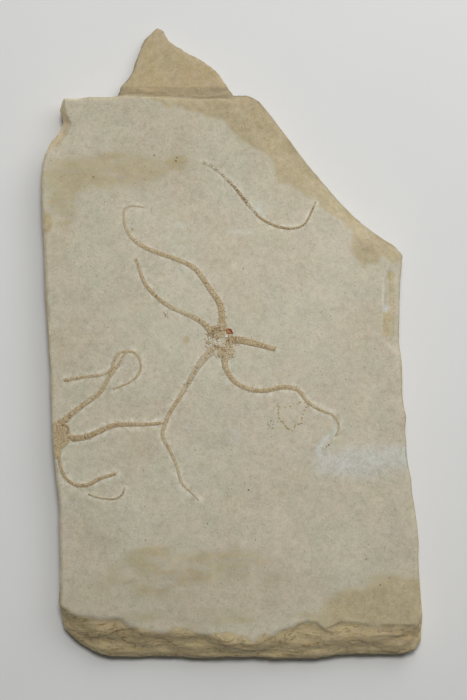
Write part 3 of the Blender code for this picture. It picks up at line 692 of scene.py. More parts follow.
# x, y, half width, half height in mm and strength of the blotches on the face: of ochre, of faint blue-white
# bloom, and of broad shifts to lighter and darker, partly the stone's own tone and partly painted light and
# shade that follow how the lamps fall across the face
blotches = {
    "ochre": [(-55.0, 54.5, 11.0, 9.0, 0.85), (-47.0, 57.0, 9.0, 6.0, 0.45), (-27.0, 58.5, 8.0, 4.0, 0.5),
        (-18.5, 60.0, 5.5, 3.6, 0.75), (-22.0, 66.0, 5.0, 2.0, 0.25), (-24.0, -73.5, 17.0, 8.0, 0.62),
        (-10.0, -73.5, 15.0, 7.0, 0.58), (4.0, -73.5, 16.0, 7.5, 0.44), (10.0, -77.5, 14.0, 7.0, 0.38),
        (-24.0, -80.0, 32.0, 12.0, 0.45), (-38.0, 57.0, 22.0, 8.0, 0.68), (-56.0, 46.0, 7.0, 12.0, 0.6),
        (-58.0, 30.0, 5.0, 9.0, 0.3), (57.0, -88.0, 20.0, 13.5, 1.4), (43.0, -91.0, 19.0, 10.5, 1.3),
        (59.0, -91.0, 14.0, 11.0, 1.3), (30.0, -90.0, 12.0, 5.0, 0.55), (-50.0, -86.0, 12.0, 5.0, 0.35),
        (-5.0, -92.0, 20.0, 5.0, 0.45), (-30.0, -91.0, 14.0, 4.0, 0.4), (-52.0, 73.0, 7.0, 5.0, 0.25),
        (5.0, 56.0, 9.0, 5.0, 0.18), (41.0, 20.0, 9.0, 4.0, 0.2), (-61.5, 40.0, 2.2, 4.2, 1.6),
        (-15.2, 0.7, 1.7, 1.7, 0.9)],
    "bloom": [(34.0, -41.0, 9.0, 5.0, 0.75), (44.0, -40.0, 14.0, 7.0, 0.9), (55.0, -38.5, 8.0, 5.5, 0.9),
        (1.2, -31.7, 1.8, 3.2, 0.55), (-14.8, -28.7, 2.4, 1.4, 0.5), (-17.2, 38.7, 2.6, 1.6, 0.4),
        (32.6, -35.6, 2.6, 2.0, 0.6), (9.0, 44.0, 3.0, 3.6, 0.5), (51.6, 11.4, 1.6, 1.2, 1.1),
        (2.5, 36.7, 5.5, 1.2, 0.4), (-55.5, -26.0, 2.4, 1.2, 0.4)],
    "light": [(12.0, 18.0, 52.0, 62.0, 1.0), (22.0, -22.0, 40.0, 26.0, 0.9),
        (26.0, -62.0, 36.0, 22.0, 0.45), (-18.0, 36.0, 22.0, 12.0, 0.6), (35.0, -98.0, 30.0, 7.0, 1.2),
        (11.0, -62.0, 13.0, 10.0, 1.5), (31.0, -90.0, 10.0, 5.0, 0.8), (0.0, -50.0, 60.0, 26.0, 0.35)],
    "dark": [(-30.0, -86.0, 36.0, 14.0, 1.0), (-40.0, -100.0, 20.0, 7.0, 1.8), (0.0, 64.0, 50.0, 24.0, 0.8),
        (-42.0, -64.0, 9.0, 9.0, 1.0), (-36.0, 78.0, 24.0, 8.0, 0.8), (-47.0, -60.0, 14.0, 13.0, 0.45),
        (-46.0, 44.0, 16.0, 16.0, 0.35), (-52.0, -10.0, 12.0, 30.0, 0.2), (-5.0, -84.0, 50.0, 16.0, 0.4)],
}
# a curved pale scrape, in mm
scarLine = [(35.9, -28.0), (33.6, -30.6), (29.9, -33.8), (28.8, -36.4), (31.0, -38.8)]


def hollowOf(obj, rounds):
    # how far each point lies under the smoothed surface, in mm: positive in hollows, negative on ridges
    edges = np.empty(len(obj.data.edges) * 2, dtype=np.int64)
    obj.data.edges.foreach_get("vertices", edges)
    first, second = edges.reshape(-1, 2).T
    places = verticesOf(obj)
    size = len(places)
    count = np.bincount(first, minlength=size) + np.bincount(second, minlength=size)
    smooth = places
    for _ in range(rounds):
        total = np.stack([np.bincount(first, axis[second], size) + np.bincount(second, axis[first], size)
                          for axis in smooth.T], axis=1)
        smooth = total / np.maximum(count, 1)[:, None]
    return ((smooth - places) * verticesOf(obj, "normal")).sum(axis=1)


def blotchesAt(xy, kind):
    total = np.zeros(len(xy))
    for x, y, wide, high, strength in blotches[kind]:
        out = np.hypot((xy[:, 0] - x) / wide, (xy[:, 1] - y) / high)
        total = np.maximum(total, strength * (1 - smoothStep(0.35, 1.15, out)))
    return total


def markSlab(slab):
    # what the stone's finish needs to know about each place, kept on the mesh
    places = verticesOf(slab)
    xy, y, z = places[:, :2], places[:, 1], places[:, 2]
    zones = zonesOf(xy)
    # the slope under the crest of the foot is tan too, however the crest wanders
    foot = np.maximum(zones["foot"], np.where(y < -80, np.clip((13.55 - z) * 2.5, -8, 2), -8))
    # painted light: the top of the left walls takes the notch's light tan against the shade it stands in
    leftRimLight = 0.9 * (places[:, 0] < -50) * smoothStep(9.0, 13.0, z) * smoothStep(2.0, -2.0, foot)
    scar = 1.1 * (1 - smoothStep(0.3, 1.3, nearestOn(xy, scarLine)[0]))
    halo = np.zeros(len(xy))
    for name, line in laidLines.items():
        fine = smoothLine(line, 0.5)
        reach, strength = arms[name]["halo"]
        away = nearestOn(xy, fine)[0]
        half = np.interp(np.linspace(0, 1, 9), np.linspace(0, 1, len(fine)), fine[:, 2]).mean() / 2
        halo = np.maximum(halo, strength * (1 - smoothStep(half + reach * 0.5, half + reach * 1.8, away)))
    crack = np.zeros(len(xy))
    for line, *_ in bedEnds:
        crack = np.maximum(crack, 1 - smoothStep(0.1, 0.6, nearestOn(xy, line)[0]))
    marks = {
        "tanDepth": np.clip(np.maximum(np.maximum(zones["shoulder"], zones["notch"]), foot), -8, 8),
        "footDepth": np.clip(foot, -8, 8),
        "upright": 1 - smoothStep(0.35, 0.9, verticesOf(slab, "normal")[:, 2]),
        "tongue": smoothStep(82.0, 84.0, y) * (1 - smoothStep(6.8, 8.5, z)),
        # the notch's facet and the top of the left walls, which get painted light
        "notch": np.maximum(smoothStep(-5.0, 0.0, zones["notch"]) * (z < 13.9), leftRimLight),
        "blotch": blotchesAt(xy, "ochre") * (z > 9),
        "bloom": np.maximum(blotchesAt(xy, "bloom"), scar) * (z > 9),
        "halo": halo * (z > 12.5),
        # partly the stone's own broad tone, partly painted light and shade where the lamps fall stronger and
        # weaker
        "spread": blotchesAt(xy, "light") - blotchesAt(xy, "dark"),
        # painted shade in the hollows and painted highlights on the ridges, by how far each place lies under
        # the smoothed surface
        "paintedHollowShade": np.clip(hollowOf(slab, 4) / 0.35, -0.35, 1),
        "crack": crack * (z > 6),
    }
    for name, values in marks.items():
        setAttribute(slab, name, values)


limestoneFinish = {
    # scale per mm, detail and distortion
    "noises": {"broad": (0.045, 2), "mottle": (0.17, 5, 0.6), "patch": (0.5, 4, 0.4), "grain": (1.6, 5),
               "fine": (4.5, 3)},
    "cool": (0.515, 0.482, 0.370), "warm": (0.505, 0.449, 0.335), "grey": (0.452, 0.415, 0.312),
    "shoulderTan": (0.442, 0.372, 0.236), "footTan": (0.402, 0.32, 0.18), "blotchTan": (0.425, 0.35, 0.198),
    "deepOchre": (0.4, 0.29, 0.122), "tongueTan": (0.45, 0.372, 0.235), "chipTan": (0.48, 0.398, 0.25),
    # the rim's and the notch's tans are partly painted light, lightened against the shade of the walls; the
    # step colour is painted shade
    "rimTanAndLight": (0.61, 0.518, 0.335), "notchTanAndLight": (0.8, 0.672, 0.432), "paintedStepShade": (0.3, 0.242, 0.155),
    "bloom": (0.535, 0.527, 0.462), "halo": (0.61, 0.565, 0.445), "speck": (0.2, 0.165, 0.11),
    "dust": (0.6, 0.57, 0.48), "underside": (0.43, 0.375, 0.27),
    # left, right, low, high in mm, colour and strength of the crisp patches beside the chip on the right
    "chipPatches": [(52.9, 55.4, 10.0, 24.4, "chipTan", 1.0), (50.9, 55.2, 2.4, 10.5, "chipTan", 1.0),
                    (52.9, 55.2, 21.0, 24.2, "deepOchre", 0.35), (51.0, 53.2, 10.4, 12.6, "bloom", 0.9),
                    (55.6, 59.0, -1.0, 26.0, "bloom", 0.45), (50.6, 51.7, 12.2, 22.5, "halo", 0.55)],
    "chipSoft": 0.35, "chipWobble": (1.3, 1.3, 0),  # mm
    # how light it is, how far each noise sways that, and what each mark adds to it
    "lightness": 1.07,
    "sways": {"grain": 0.44, "fine": 0.38, "patch": 0.45, "mottle": 0.46},
    # among these shifts, painted shade darkens the hollows and the shoulder's outer slope, painted light
    # lifts the ridges and the foot's steep steps, and the broad spreads are partly painted light and shade
    "shifts": {"spread": 0.075, "pits": -0.16, "paintedHollowShade": -0.12, "crack": -0.16, "outer": -0.09, "thin": -0.5,
               "fresh": 0.42, "foot": 0.27, "layers": 0.34},
    "follow": (1.0, 1.10, 1.33),  # how strongly each channel follows the lightness
    "tints": ((0.11, 0.07), (0.55, 0.065)),  # scale per mm and amount of the wandering tint
    "roughness": 0.92, "specular": 0.25, "bump": {"Strength": 0.55, "Distance": 0.14 * mm},
}


def makeLimestone(finish):
    # broad shifts of tone, mottling and grain, then the zones, stains and specks over them
    stone = ShaderTree("paleLimestone")
    noises = {name: stone.noise(*sizes) for name, sizes in finish["noises"].items()}
    mottle, patch, grain = noises["mottle"], noises["patch"], noises["grain"]
    _, y, z = stone.add("SeparateXYZ", {"Vector": stone.where}).outputs
    tone = stone.plus(stone.times(noises["broad"], 0.55), mottle, 0.45)
    colour = stone.mix(stone.ramp(tone, 0.38, 0.62), finish["cool"], finish["warm"])
    colour = stone.mix(stone.times(stone.ramp(patch, 0.52, 0.74), 0.55), colour, finish["grey"])

    blotch = stone.attribute("blotch")
    near = stone.ramp(blotch, 0.05, 0.55)
    drawn = stone.noise(0.14, 5, 0.5, (0.55, 1.5, 1.0))
    for noise, amount in ((drawn, 2.0), (patch, 1.5), (grain, 0.9)):
        blotch = stone.sway(blotch, noise, amount)
    colour = stone.mix(stone.times(stone.ramp(blotch, 0.12, 0.95), near, 0.78), colour, finish["blotchTan"])

    # the zones, with ragged edges
    ragged = stone.sway(stone.sway(0.0, mottle, 7.0), grain, 3.0)
    tan = stone.attribute("tanDepth")
    tanShare = stone.ramp(stone.plus(tan, ragged, 0.75), -0.5, 1.2)
    footShare = stone.ramp(stone.plus(stone.attribute("footDepth"), ragged, 0.5), -0.3, 1.6)
    offFoot = stone.inverse(footShare)
    colour = stone.mix(tanShare, colour, finish["shoulderTan"])
    colour = stone.mix(footShare, colour, finish["footTan"])
    deep = stone.times(stone.ramp(patch, 0.42, 0.72), footShare, 0.55)
    colour = stone.mix(deep, colour, finish["deepOchre"])
    upright = stone.attribute("upright")
    greyer = stone.times(stone.ramp(mottle, 0.35, 0.65), offFoot)
    sides = stone.mix(greyer, finish["footTan"], finish["underside"])
    # the upper part of the side walls takes the rim's tan, made lighter as painted light against the walls'
    # shade
    sides = stone.mix(stone.times(stone.ramp(z, 8.0, 13.0), offFoot), sides, finish["rimTanAndLight"])
    colour = stone.mix(stone.times(upright, 0.85), colour, sides)
    tongue = stone.attribute("tongue")
    tongueColour = stone.mix(stone.ramp(mottle, 0.35, 0.68), finish["tongueTan"], finish["footTan"])
    colour = stone.mix(tongue, colour, tongueColour)
    # the notch's facet and the left rim: a tan lightened far as painted light against the shade of these
    # walls
    colour = stone.mix(stone.times(stone.attribute("notch"), upright), colour, finish["notchTanAndLight"])
    # painted shade: a darker band on the tongue along the foot of the step up to the face
    streaks = stone.noise(0.5, 4, stretch=(0.25, 1.6, 1.0))
    band = stone.ramp(stone.plus(y, streaks, 1.6), 87.2, 86.6)
    band = stone.times(band, tongue, stone.ramp(streaks, 0.20, 0.56), 0.75)
    colour = stone.mix(band, colour, finish["paintedStepShade"])

    # crisp patches
    wobble = stone.noise(1.1, 3, output="Color")
    wobbly = stone.vector("MULTIPLY_ADD", wobble, finish["chipWobble"], stone.where)
    across, along, _ = stone.add("SeparateXYZ", {"Vector": wobbly}).outputs
    onFace = stone.ramp(z, 12.4, 13.4)
    soft = finish["chipSoft"]
    for left, right, low, high, tint, share in finish["chipPatches"]:
        inside = stone.times(onFace, share)
        for axis, edge, reach in ((across, left, soft), (across, right, -soft), (along, low, soft),
                                  (along, high, -soft)):
            inside = stone.times(inside, stone.ramp(axis, edge, edge + reach))
        colour = stone.mix(inside, colour, finish[tint])

    halo = stone.times(stone.attribute("halo"), 1.35, stone.ramp(patch, 0.30, 0.62))
    colour = stone.mix(halo, colour, finish["halo"])
    bloom = stone.times(stone.attribute("bloom"), stone.ramp(stone.plus(mottle, grain, 0.4), 0.0, 0.80))
    colour = stone.mix(bloom, colour, finish["bloom"])

    # dark specks that gather in places, and pale ones
    gather = stone.times(stone.ramp(stone.noise(0.06, 2), 0.48, 0.62), 0.14)
    cells = stone.add("TexVoronoi", {"Vector": stone.where, "Scale": 0.9, "Randomness": 1.0})
    distance = cells.outputs["Distance"]
    red, green, _ = stone.add("SeparateColor", {"Color": cells.outputs["Color"]}).outputs
    dark = stone.times(stone.ramp(stone.plus(gather, red), 0.80, 0.86), stone.ramp(distance, 0.24, 0.10))
    colour = stone.mix(stone.times(dark, 0.60), colour, finish["speck"])
    pale = stone.times(stone.ramp(green, 0.84, 0.88), stone.ramp(distance, 0.30, 0.12), 0.3)
    colour = stone.mix(pale, colour, finish["dust"])

    # how light it is: thin cracks wander across the foot, whose steep steps get painted light against their
    # shade, and the slope of the shoulder gets painted shade that turns it a little darker away from the face
    lightness = finish["lightness"]
    for name, amount in finish["sways"].items():
        lightness = stone.sway(lightness, noises[name], amount)
    folds = stone.math("PINGPONG", stone.noise(0.14, 4, 0.9, (0.42, 1.6, 1.6)), 0.07)
    strata = stone.sway(0.0, stone.noise(0.7, 4, 0.3, (0.22, 0.22, 3.2)), 1.0)
    shifts = {
        # the hollows get painted shade and the ridges painted highlights
        **{name: stone.attribute(name) for name in ("spread", "paintedHollowShade", "crack")},
        "pits": stone.times(stone.ramp(stone.noise(1.25, 2), 0.60, 0.76), stone.ramp(mottle, 0.44, 0.62)),
        # painted shade: the shoulder's outer slope is darkened away from the face
        "outer": stone.times(stone.ramp(tan, 3.0, 8.0), offFoot, stone.inverse(tongue)),
        "thin": stone.times(stone.ramp(folds, 0.022, 0.006), stone.ramp(patch, 0.36, 0.52), footShare),
        # painted light: the foot's steep steps are lightened against the shade they stand in
        "fresh": stone.times(upright, footShare), "foot": footShare,
        "layers": stone.times(strata, stone.math("MAXIMUM", upright, footShare)),
    }
    for name, shift in shifts.items():
        lightness = stone.plus(lightness, shift, finish["shifts"][name])
    follow = finish["follow"]
    steady = tuple(finish["lightness"] * (1 - share) for share in follow)
    colour = stone.vector("MULTIPLY", colour, stone.vector("MULTIPLY_ADD", lightness, follow, steady))
    # the stone's tint wanders on its own, between a pink and a green cream
    for scale, amount in finish["tints"]:
        depth = Vector((amount, amount, amount * 1.3))
        tint = stone.noise(scale, 3, output="Color")
        tint = stone.vector("MULTIPLY_ADD", tint, depth, Vector((1, 1, 1)) - depth / 2)
        colour = stone.vector("MULTIPLY", colour, tint)

    height = stone.plus(stone.plus(stone.times(grain, 0.8), noises["fine"], 0.35), dark, -0.3)
    normal = stone.add("Bump", {**finish["bump"], "Height": height}).outputs["Normal"]
    return stone.finish(colour, finish["roughness"], finish["specular"], normal)


print("slab: zones and finish")
straighten(slab, slabBuild["push"], *slabBuild["pushFrom"])
markSlab(slab)
dress(slab, ["slab"], makeLimestone(limestoneFinish))


# everything that lies on the stone follows its swell
stoneTree = BVHTree.FromObject(slab, bpy.context.evaluated_depsgraph_get())


def stoneLevel(x, y, least=12.5):
    # mm; where the ray misses, the level of the flat face
    hit = stoneTree.ray_cast(Vector((x * mm, y * mm, 0.03)), Vector((0, 0, -1)))[0]
    return hit.z / mm if hit and hit.z > least * mm else slabBuild["faceLevel"]


def stoneLevels(places):
    return np.array([stoneLevel(x, y) for x, y in places[:, :2]])


segmentBuild = {
    # sides, radius and distance from the arm's middle as shares of its width, and how much longer than wide
    "back": (8, 0.30, 0.0, 1.45), "backShoulder": 0.6, "backCrown": 1.0,
    "side": (6, 0.17, 0.27, 1.4), "sideShoulder": 0.35, "sideCrown": 0.7,
    "spineLength": 0.20, "spineTaper": 0.3, "spineDrop": -0.12,
    "foot": 0.30,  # mm that each segment is sunk into the stone
    "crownBase": 0.07, "crownRatio": 0.105,  # mm, and mm of height for each mm of width
    "pitchRatio": 0.30, "pitchLeast": 0.36, "pitchMost": 0.66,  # mm from one segment to the next
    "overlap": 1.35, "shift": 0.06, "turn": 0.3,  # share of the pitch, of the width, and radians
    "missing": 0.02, "wornShare": 0.45,
    "spineLeast": 0.85, "smoothWide": 1.5,  # mm of width under which it is smooth, and how much wider then
    "plateTone": 0.13, "oddTone": 0.30,  # how far a plate's tone strays from its neighbours'
}


def modelPlate(sides, radius, x, stretch, low, shoulder, crown):
    # a many-sided plate with a stepped, rounded back, standing on the stone at z = 0
    deselectAll()
    middle = (x, 0, (shoulder + low) / 2)
    bpy.ops.mesh.primitive_cylinder_add(vertices=sides, radius=radius, depth=shoulder - low, location=middle,
                                        rotation=(0, 0, math.pi / sides))
    plate = bpy.context.object
    bpy.ops.object.transform_apply(location=True, rotation=True, scale=True)
    editWhole(plate)
    bpy.ops.transform.resize(value=(1, stretch, 1), center_override=(x, 0, 0))
    selectFaces(plate, lambda face: face.normal.z > 0.9)
    for inset, rise in ((0.28, 0.65), (0.30, 0.35)):
        bpy.ops.mesh.inset(thickness=radius * inset, depth=(crown - shoulder) * rise)
    leaveEdit()
    return plate


def growSpines(plate, side, build):
    # the two outward faces of a side plate are drawn out into blunt spines that trail towards the arm's tip
    reach, taper = build["spineLength"], build["spineTaper"]
    for lean in (-1, 1):
        selectFaces(plate, lambda face: face.normal.x * side > 0.5 and face.normal.y * lean > 0.2
                    and abs(face.normal.z) < 0.1)
        faces = [face for face in bmesh.from_edit_mesh(plate.data).faces if face.select]
        if faces:
            middle = faces[0].calc_center_median()
            drawn = Vector((side * reach, reach * (0.5 + 0.35 * lean), build["spineDrop"]))
            bpy.ops.mesh.extrude_region_move(TRANSFORM_OT_translate={"value": drawn})
            bpy.ops.transform.resize(value=(1, taper, taper), center_override=middle + drawn)
    leaveEdit()


def modelSegment(name, build, spined, lateral=True):
    parts = [modelPlate(*build["back"], -1, build["backShoulder"], build["backCrown"])]
    sides, radius, out, stretch = build["side"]
    for side in ((-1, 1) if lateral else ()):
        plate = modelPlate(sides, radius, side * out, stretch, -1, build["sideShoulder"], build["sideCrown"])
        if spined:
            growSpines(plate, side, build)
        parts.append(plate)
    return joinPieces(parts, name)


def copyTo(template, place, turn, wide, long, crown, foot, tones, bony=1.0):
    # a copy with its own mesh: heights over the stone and depths under it scale on their own,
    # and the left, middle and right of it each have a tone
    piece = template.copy()
    piece.data = template.data.copy()
    scene.collection.objects.link(piece)
    x, y, z = verticesOf(piece).T * mm  # a template is one unit wide
    across, along = x * wide, y * long
    cosine, sine = math.cos(turn), math.sin(turn)
    rise = np.where(z > 0, z * crown, z * foot)
    spots = (across * cosine - along * sine, across * sine + along * cosine, rise)
    setVertices(piece, np.stack(spots, axis=1) + place)
    left, middle, right = tones
    setAttribute(piece, "tone", np.where(x < -0.2, left, np.where(x > 0.2, right, middle)))
    setAttribute(piece, "bony", np.clip(z * 2.5, 0, 1) * bony)
    return piece


def alongArm(arm, key, share):
    # the arm's tone, or how bony it is: where it is thin the stone shows through
    values = arm.get(key, (1, 1))
    return float(np.interp(share, np.linspace(0, 1, len(values)), values))


def layArm(line, arm, seed, drop=0.0, step=0.06):
    # segments one after the other along the line, smaller towards the tip
    build = segmentBuild
    dice = random.Random(seed)
    fine = smoothLine(line, step)
    copies = []
    place = 0.0
    while int(place / step) < len(fine) - 1:
        index = int(place / step)
        x, y, width = fine[index]
        ahead = fine[min(index + 4, len(fine) - 1)] - fine[max(index - 4, 0)]
        turn = math.atan2(ahead[1], ahead[0]) - math.pi / 2
        pitch = min(max(build["pitchRatio"] * width, build["pitchLeast"]), build["pitchMost"])
        place += pitch * dice.uniform(0.85, 1.15)
        roll, jitter, spread, lift, odd = (dice.random() for _ in range(5))
        share = index / len(fine)
        if roll < build["missing"] + arm.get("gaps", 0) * odd * (1.4 - share):
            continue
        smooth = width < build["spineLeast"]
        kind = "smooth" if smooth else "worn" if roll < build["wornShare"] else "spined"
        tone = alongArm(arm, "tone", share)
        stray = build["plateTone"] if odd > arm["odd"] * (1 - share) else build["oddTone"]
        tones = [tone + dice.uniform(-stray, stray) for _ in range(3)]
        crown = (build["crownBase"] + build["crownRatio"] * width) * (0.75 + 0.25 * lift) - drop
        grow = width * (0.95 + 0.10 * spread) * (build["smoothWide"] if smooth else 1.0)
        shift = build["shift"] * width
        spot = (x + (jitter - 0.5) * shift, y + (spread - 0.5) * shift, stoneLevel(x, y))
        bony = min(alongArm(arm, "thin", share) + 0.25, 1)
        copies.append(copyTo(segments[kind], spot, turn + (jitter - 0.5) * build["turn"], grow,
                             pitch * build["overlap"], crown, build["foot"], tones, bony))
    return copies


def scatterGranules(places, seed, low, high, rise):
    # places are x, y, surface height in mm and tone; each granule is its own size and turn
    dice = random.Random(seed)
    copies = []
    for *place, tone in places:
        size = dice.uniform(low, high)
        copies.append(copyTo(granule, place, dice.uniform(0, math.tau), size, size * dice.uniform(0.7, 1.2),
                             size * rise * dice.uniform(0.7, 1.3), 0.25, [tone] * 3))
    return copies


def coreOf(nodeName, pieceName, lower, lift=0.0, cuts=0):
    # the worn body under the segments: the node's own shape, let down a little and lifted as one
    core = copyNode(nodeName, pieceName)
    if cuts:
        editWhole(core)
        bpy.ops.mesh.subdivide(number_cuts=cuts)
        leaveEdit()
    shape = verticesOf(core)
    over = np.maximum(shape[:, 2] - slabBuild["faceLevel"], 0)
    shape[:, 2] = np.where(over > 0, stoneLevels(shape) + over * lower + lift, shape[:, 2])
    setVertices(core, shape)
    return core


armBuild = {
    "coreHeight": 0.45,  # share of the crown's height that the core keeps
    "coreWear": (0.9, 0.14, 2, 0.55),  # size, strength, depth and level, in mm
    "granulesPerMm": 3.8, "fringeLeast": 0.85, "granules": (0.18, 0.36, 0.45),  # mm across, and rise
    "crossingDrop": 0.02,  # mm
}


def fringeOf(line, arm, seed):
    # granules and broken spines along both margins, fewer towards the tip
    dice = random.Random(seed)
    points = smoothLine(line, 1 / armBuild["granulesPerMm"])
    places = []
    for index, (x, y, width) in enumerate(points):
        share = index / len(points)
        for side in ((-1, 1) if width >= armBuild["fringeLeast"] else ()):
            if dice.random() < arm["fringe"] * (1 - 0.75 * share):
                angle = dice.uniform(0, math.tau)
                reach = width * dice.uniform(0.38, 0.60)
                tone = alongArm(arm, "tone", share) + dice.choice((-0.30, -0.15, -0.05, 0.05, 0.15, 0.4))
                dot = (x + math.cos(angle) * reach, y + math.sin(angle) * reach)
                places.append((*dot, stoneLevel(*dot) - 0.02, tone))
    return places


def nearestIndex(line, places):
    return np.array([np.argmin(np.hypot(line[:, 0] - x, line[:, 1] - y)) for x, y in places[:, :2]])


def toneCore(core, line, arm):
    # the core takes its arm's tone from the nearest place on the line, and fades into the stone at its foot
    fine = smoothLine(line, 0.4)
    shape = verticesOf(core)
    shares = np.linspace(0, 1, len(fine))[nearestIndex(fine, shape)]
    thin = [alongArm(arm, "thin", share) for share in shares]
    over = shape[:, 2] - stoneLevels(shape)
    setAttribute(core, "tone", [alongArm(arm, "tone", share) + 0.02 for share in shares])
    setAttribute(core, "bony", np.minimum(np.clip(over / 0.14, 0, 1), thin))


def layCore(pieceName, arm, course):
    # the node's shape, moved from its own line to where the arm lies
    core = coreOf(nodeOf(pieceName), pieceName, armBuild["coreHeight"], cuts=1)
    fine, laid, grow = course
    shape = verticesOf(core)
    nearest = nearestIndex(fine, shape)
    shape[:, :2] = laid[nearest, :2] + (shape[:, :2] - fine[nearest, :2]) * grow[nearest][:, None]
    setVertices(core, shape)
    toneCore(core, laidLines[pieceName], arm)
    displace(core, pieceName + "Wear", *armBuild["coreWear"])
    return core


print("fossils: segment templates")
segments = {
    "spined": modelSegment("segmentSpined", segmentBuild, True),
    "worn": modelSegment("segmentWorn", segmentBuild, False),
    "smooth": modelSegment("segmentSmooth", segmentBuild, False, lateral=False),
}
granule = joinPieces([modelPlate(6, 0.5, 0, 1.0, -0.6, 0.5, 1.0)], "granule")

boneFinish = {
    # tone and colour: dark brown, brown, tan, straw and the stone's own pale cream
    "tones": [(0.0, (0.18, 0.125, 0.075)), (0.25, (0.33, 0.240, 0.135)), (0.5, (0.485, 0.372, 0.212)),
              (0.75, (0.535, 0.452, 0.298)), (1.0, (0.64, 0.60, 0.49))],
    "stone": (0.545, 0.500, 0.375),
    "sways": ((2.2, 1.45), (0.45, 0.40)),  # scale per mm, and how far the tone strays
    "roughness": 0.8, "specular": 0.25,
}


def makeBone(finish):
    bone = ShaderTree("fossilBone")
    tone = bone.attribute("tone")
    for scale, depth in finish["sways"]:
        tone = bone.sway(tone, bone.noise(scale, 3), depth)
    # where it is thin the stone shows through, in a ragged edge
    share = bone.ramp(bone.sway(bone.attribute("bony"), bone.noise(1.8, 3), 1.2), 0.15, 0.62)
    grey = bone.plus(0.85, bone.noise(4.5, 3), 0.3)
    stone = bone.add("VectorMath", {0: finish["stone"], "Scale": grey}, operation="SCALE").outputs[0]
    colour = bone.mix(share, stone, bone.toneRamp(tone, finish["tones"]))
    return bone.finish(colour, finish["roughness"], finish["specular"])


bone = makeBone(boneFinish)
for number, pieceName in enumerate(laidLines):
    if pieceName == "crossing":
        continue
    print("fossils:", pieceName)
    arm = arms[pieceName]
    course = courses[pieceName]
    if pieceName == "edgeStarArmLooped":
        course = [np.concatenate(both) for both in zip(course, courses["crossing"])]
    copies = [layCore(pieceName, arm, course)]
    whole = arm.get("root", []) + laidLines[pieceName] + arm.get("tail", [])
    copies += layArm(whole, arm, 100 + number)
    copies += scatterGranules(fringeOf(whole, arm, 300 + number), 400 + number, *armBuild["granules"])
    if pieceName == "edgeStarArmLooped":
        copies += layArm(laidLines["crossing"], arm, 200, armBuild["crossingDrop"])
    dress(joinPieces(copies, pieceName), [nodeOf(pieceName)], bone)


# height is a share of the CAD dome's, lift and all the rest are in mm; a pad is x, y, half width, half length
# and turn in degrees
starDiscBuild = {
    "ring": [(-8.8, 6.4), (-6.7, 5.3), (-5.1, 5.6), (-4.4, 8.2), (-1.6, 8.3), (-1.4, 3.0), (2.6, 1.8),
             (2.8, -1.4), (1.4, -6.0), (-3.2, -6.6), (-6.4, -5.4), (-9.2, -3.0)],
    "height": 0.15, "lift": 0.1, "voxel": 0.16,
    "wear": (0.7, 0.2, 3, 0.5),  # size, strength, depth and level
    "pads": [(-5.6, 4.0, 2.2, 2.0, 20), (-3.4, 4.9, 1.7, 2.4, 0), (0.2, -3.2, 1.6, 2.3, 20),
             (-1.5, -4.5, 2.2, 1.5, -10), (-4.2, -3.6, 1.9, 1.5, 30), (0.9, 0.6, 1.6, 1.3, 0)],
    "padHigh": 0.2,
    "granules": 480, "gap": 0.25,  # how many, and between centres
    "granuleSizes": (0.26, 0.56, 0.35),  # across, and rise
}
edgeDiscBuild = {
    "ring": [(-59.7, -26.8), (-59.7, -31.3), (-59.6, -35.0), (-58.4, -36.2), (-56.6, -36.1), (-55.2, -34.7),
             (-53.9, -32.8), (-53.8, -31.1), (-54.0, -29.4), (-54.6, -27.9), (-55.6, -26.9),
             (-57.4, -26.3)],
    "height": 0.35, "lift": 0.08, "voxel": 0.16,
    "wear": (0.9, 0.24, 3, 0.5),  # size, strength, depth and level
    "pads": [(-53.6, -31.8, 2.2, 1.0, -4), (-57.9, -37.0, 1.3, 2.2, -12), (-56.7, -26.8, 1.7, 1.1, 40)],
    "padHigh": 0.2,
    "granules": 280, "gap": 0.26,  # how many, and between centres
    "granuleSizes": (0.24, 0.46, 0.35),  # across, and rise
    "tone": 0.52, "stray": 0.26,
    "mouthPlace": (-55.9, -29.1, 14.12), "mouthRadius": 1.55, "mouthThickness": 0.38,
    "mouthArc": 170, "mouthStart": 115, "mouthSteps": 24,  # degrees
    "mouthWear": (0.5, 0.14, 2, 0.5), "mouthTone": 0.36,
}
# outlines in mm of the patches on it, each with its tone, how far the tone strays and how bony it is
starDiscPatches = [
    ([(-6.2, 1.3), (-3.5, 1.5), (-1.2, 1.0), (-1.6, -0.3), (-2.6, -1.3), (-5.9, -1.3), (-6.9, 0.0)],
     0.86, 0.16, 0.9),
    ([(-5.7, -1.5), (-2.6, -1.5), (-1.9, 0.2), (-0.8, 1.7), (1.2, 0.4), (0.3, -1.8), (1.3, -3.3),
      (0.3, -4.4), (0.9, -5.7), (-0.9, -5.2), (-2.2, -6.2), (-3.3, -4.9), (-5.0, -5.0), (-4.4, -3.2)],
     0.58, 0.42, 0.85),
    ([(-8.3, 6.0), (-6.4, 5.2), (-5.0, 5.5), (-4.3, 8.0), (-1.7, 8.2), (-1.7, 3.8), (-2.4, 1.4),
      (-6.0, 1.3), (-8.0, 3.0)],
     0.47, 0.42, 1.0),
    ([(-8.7, 2.8), (-6.0, 2.8), (-6.0, -2.2), (-8.3, -2.6), (-9.0, 0.0)],
     0.48, 0.45, 0.8),
    ([(-1.6, 1.6), (-0.6, 2.2), (3.0, 1.6), (3.0, -1.2), (-0.6, -0.8)],
     0.42, 0.22, 1.0),
]
# painted shade: the dark line falls under the pale patch
starDiscShadeLine = ((-5.6, -1.5), (-4.2, -1.6))  # mm; a dark line along the top of the lower patch


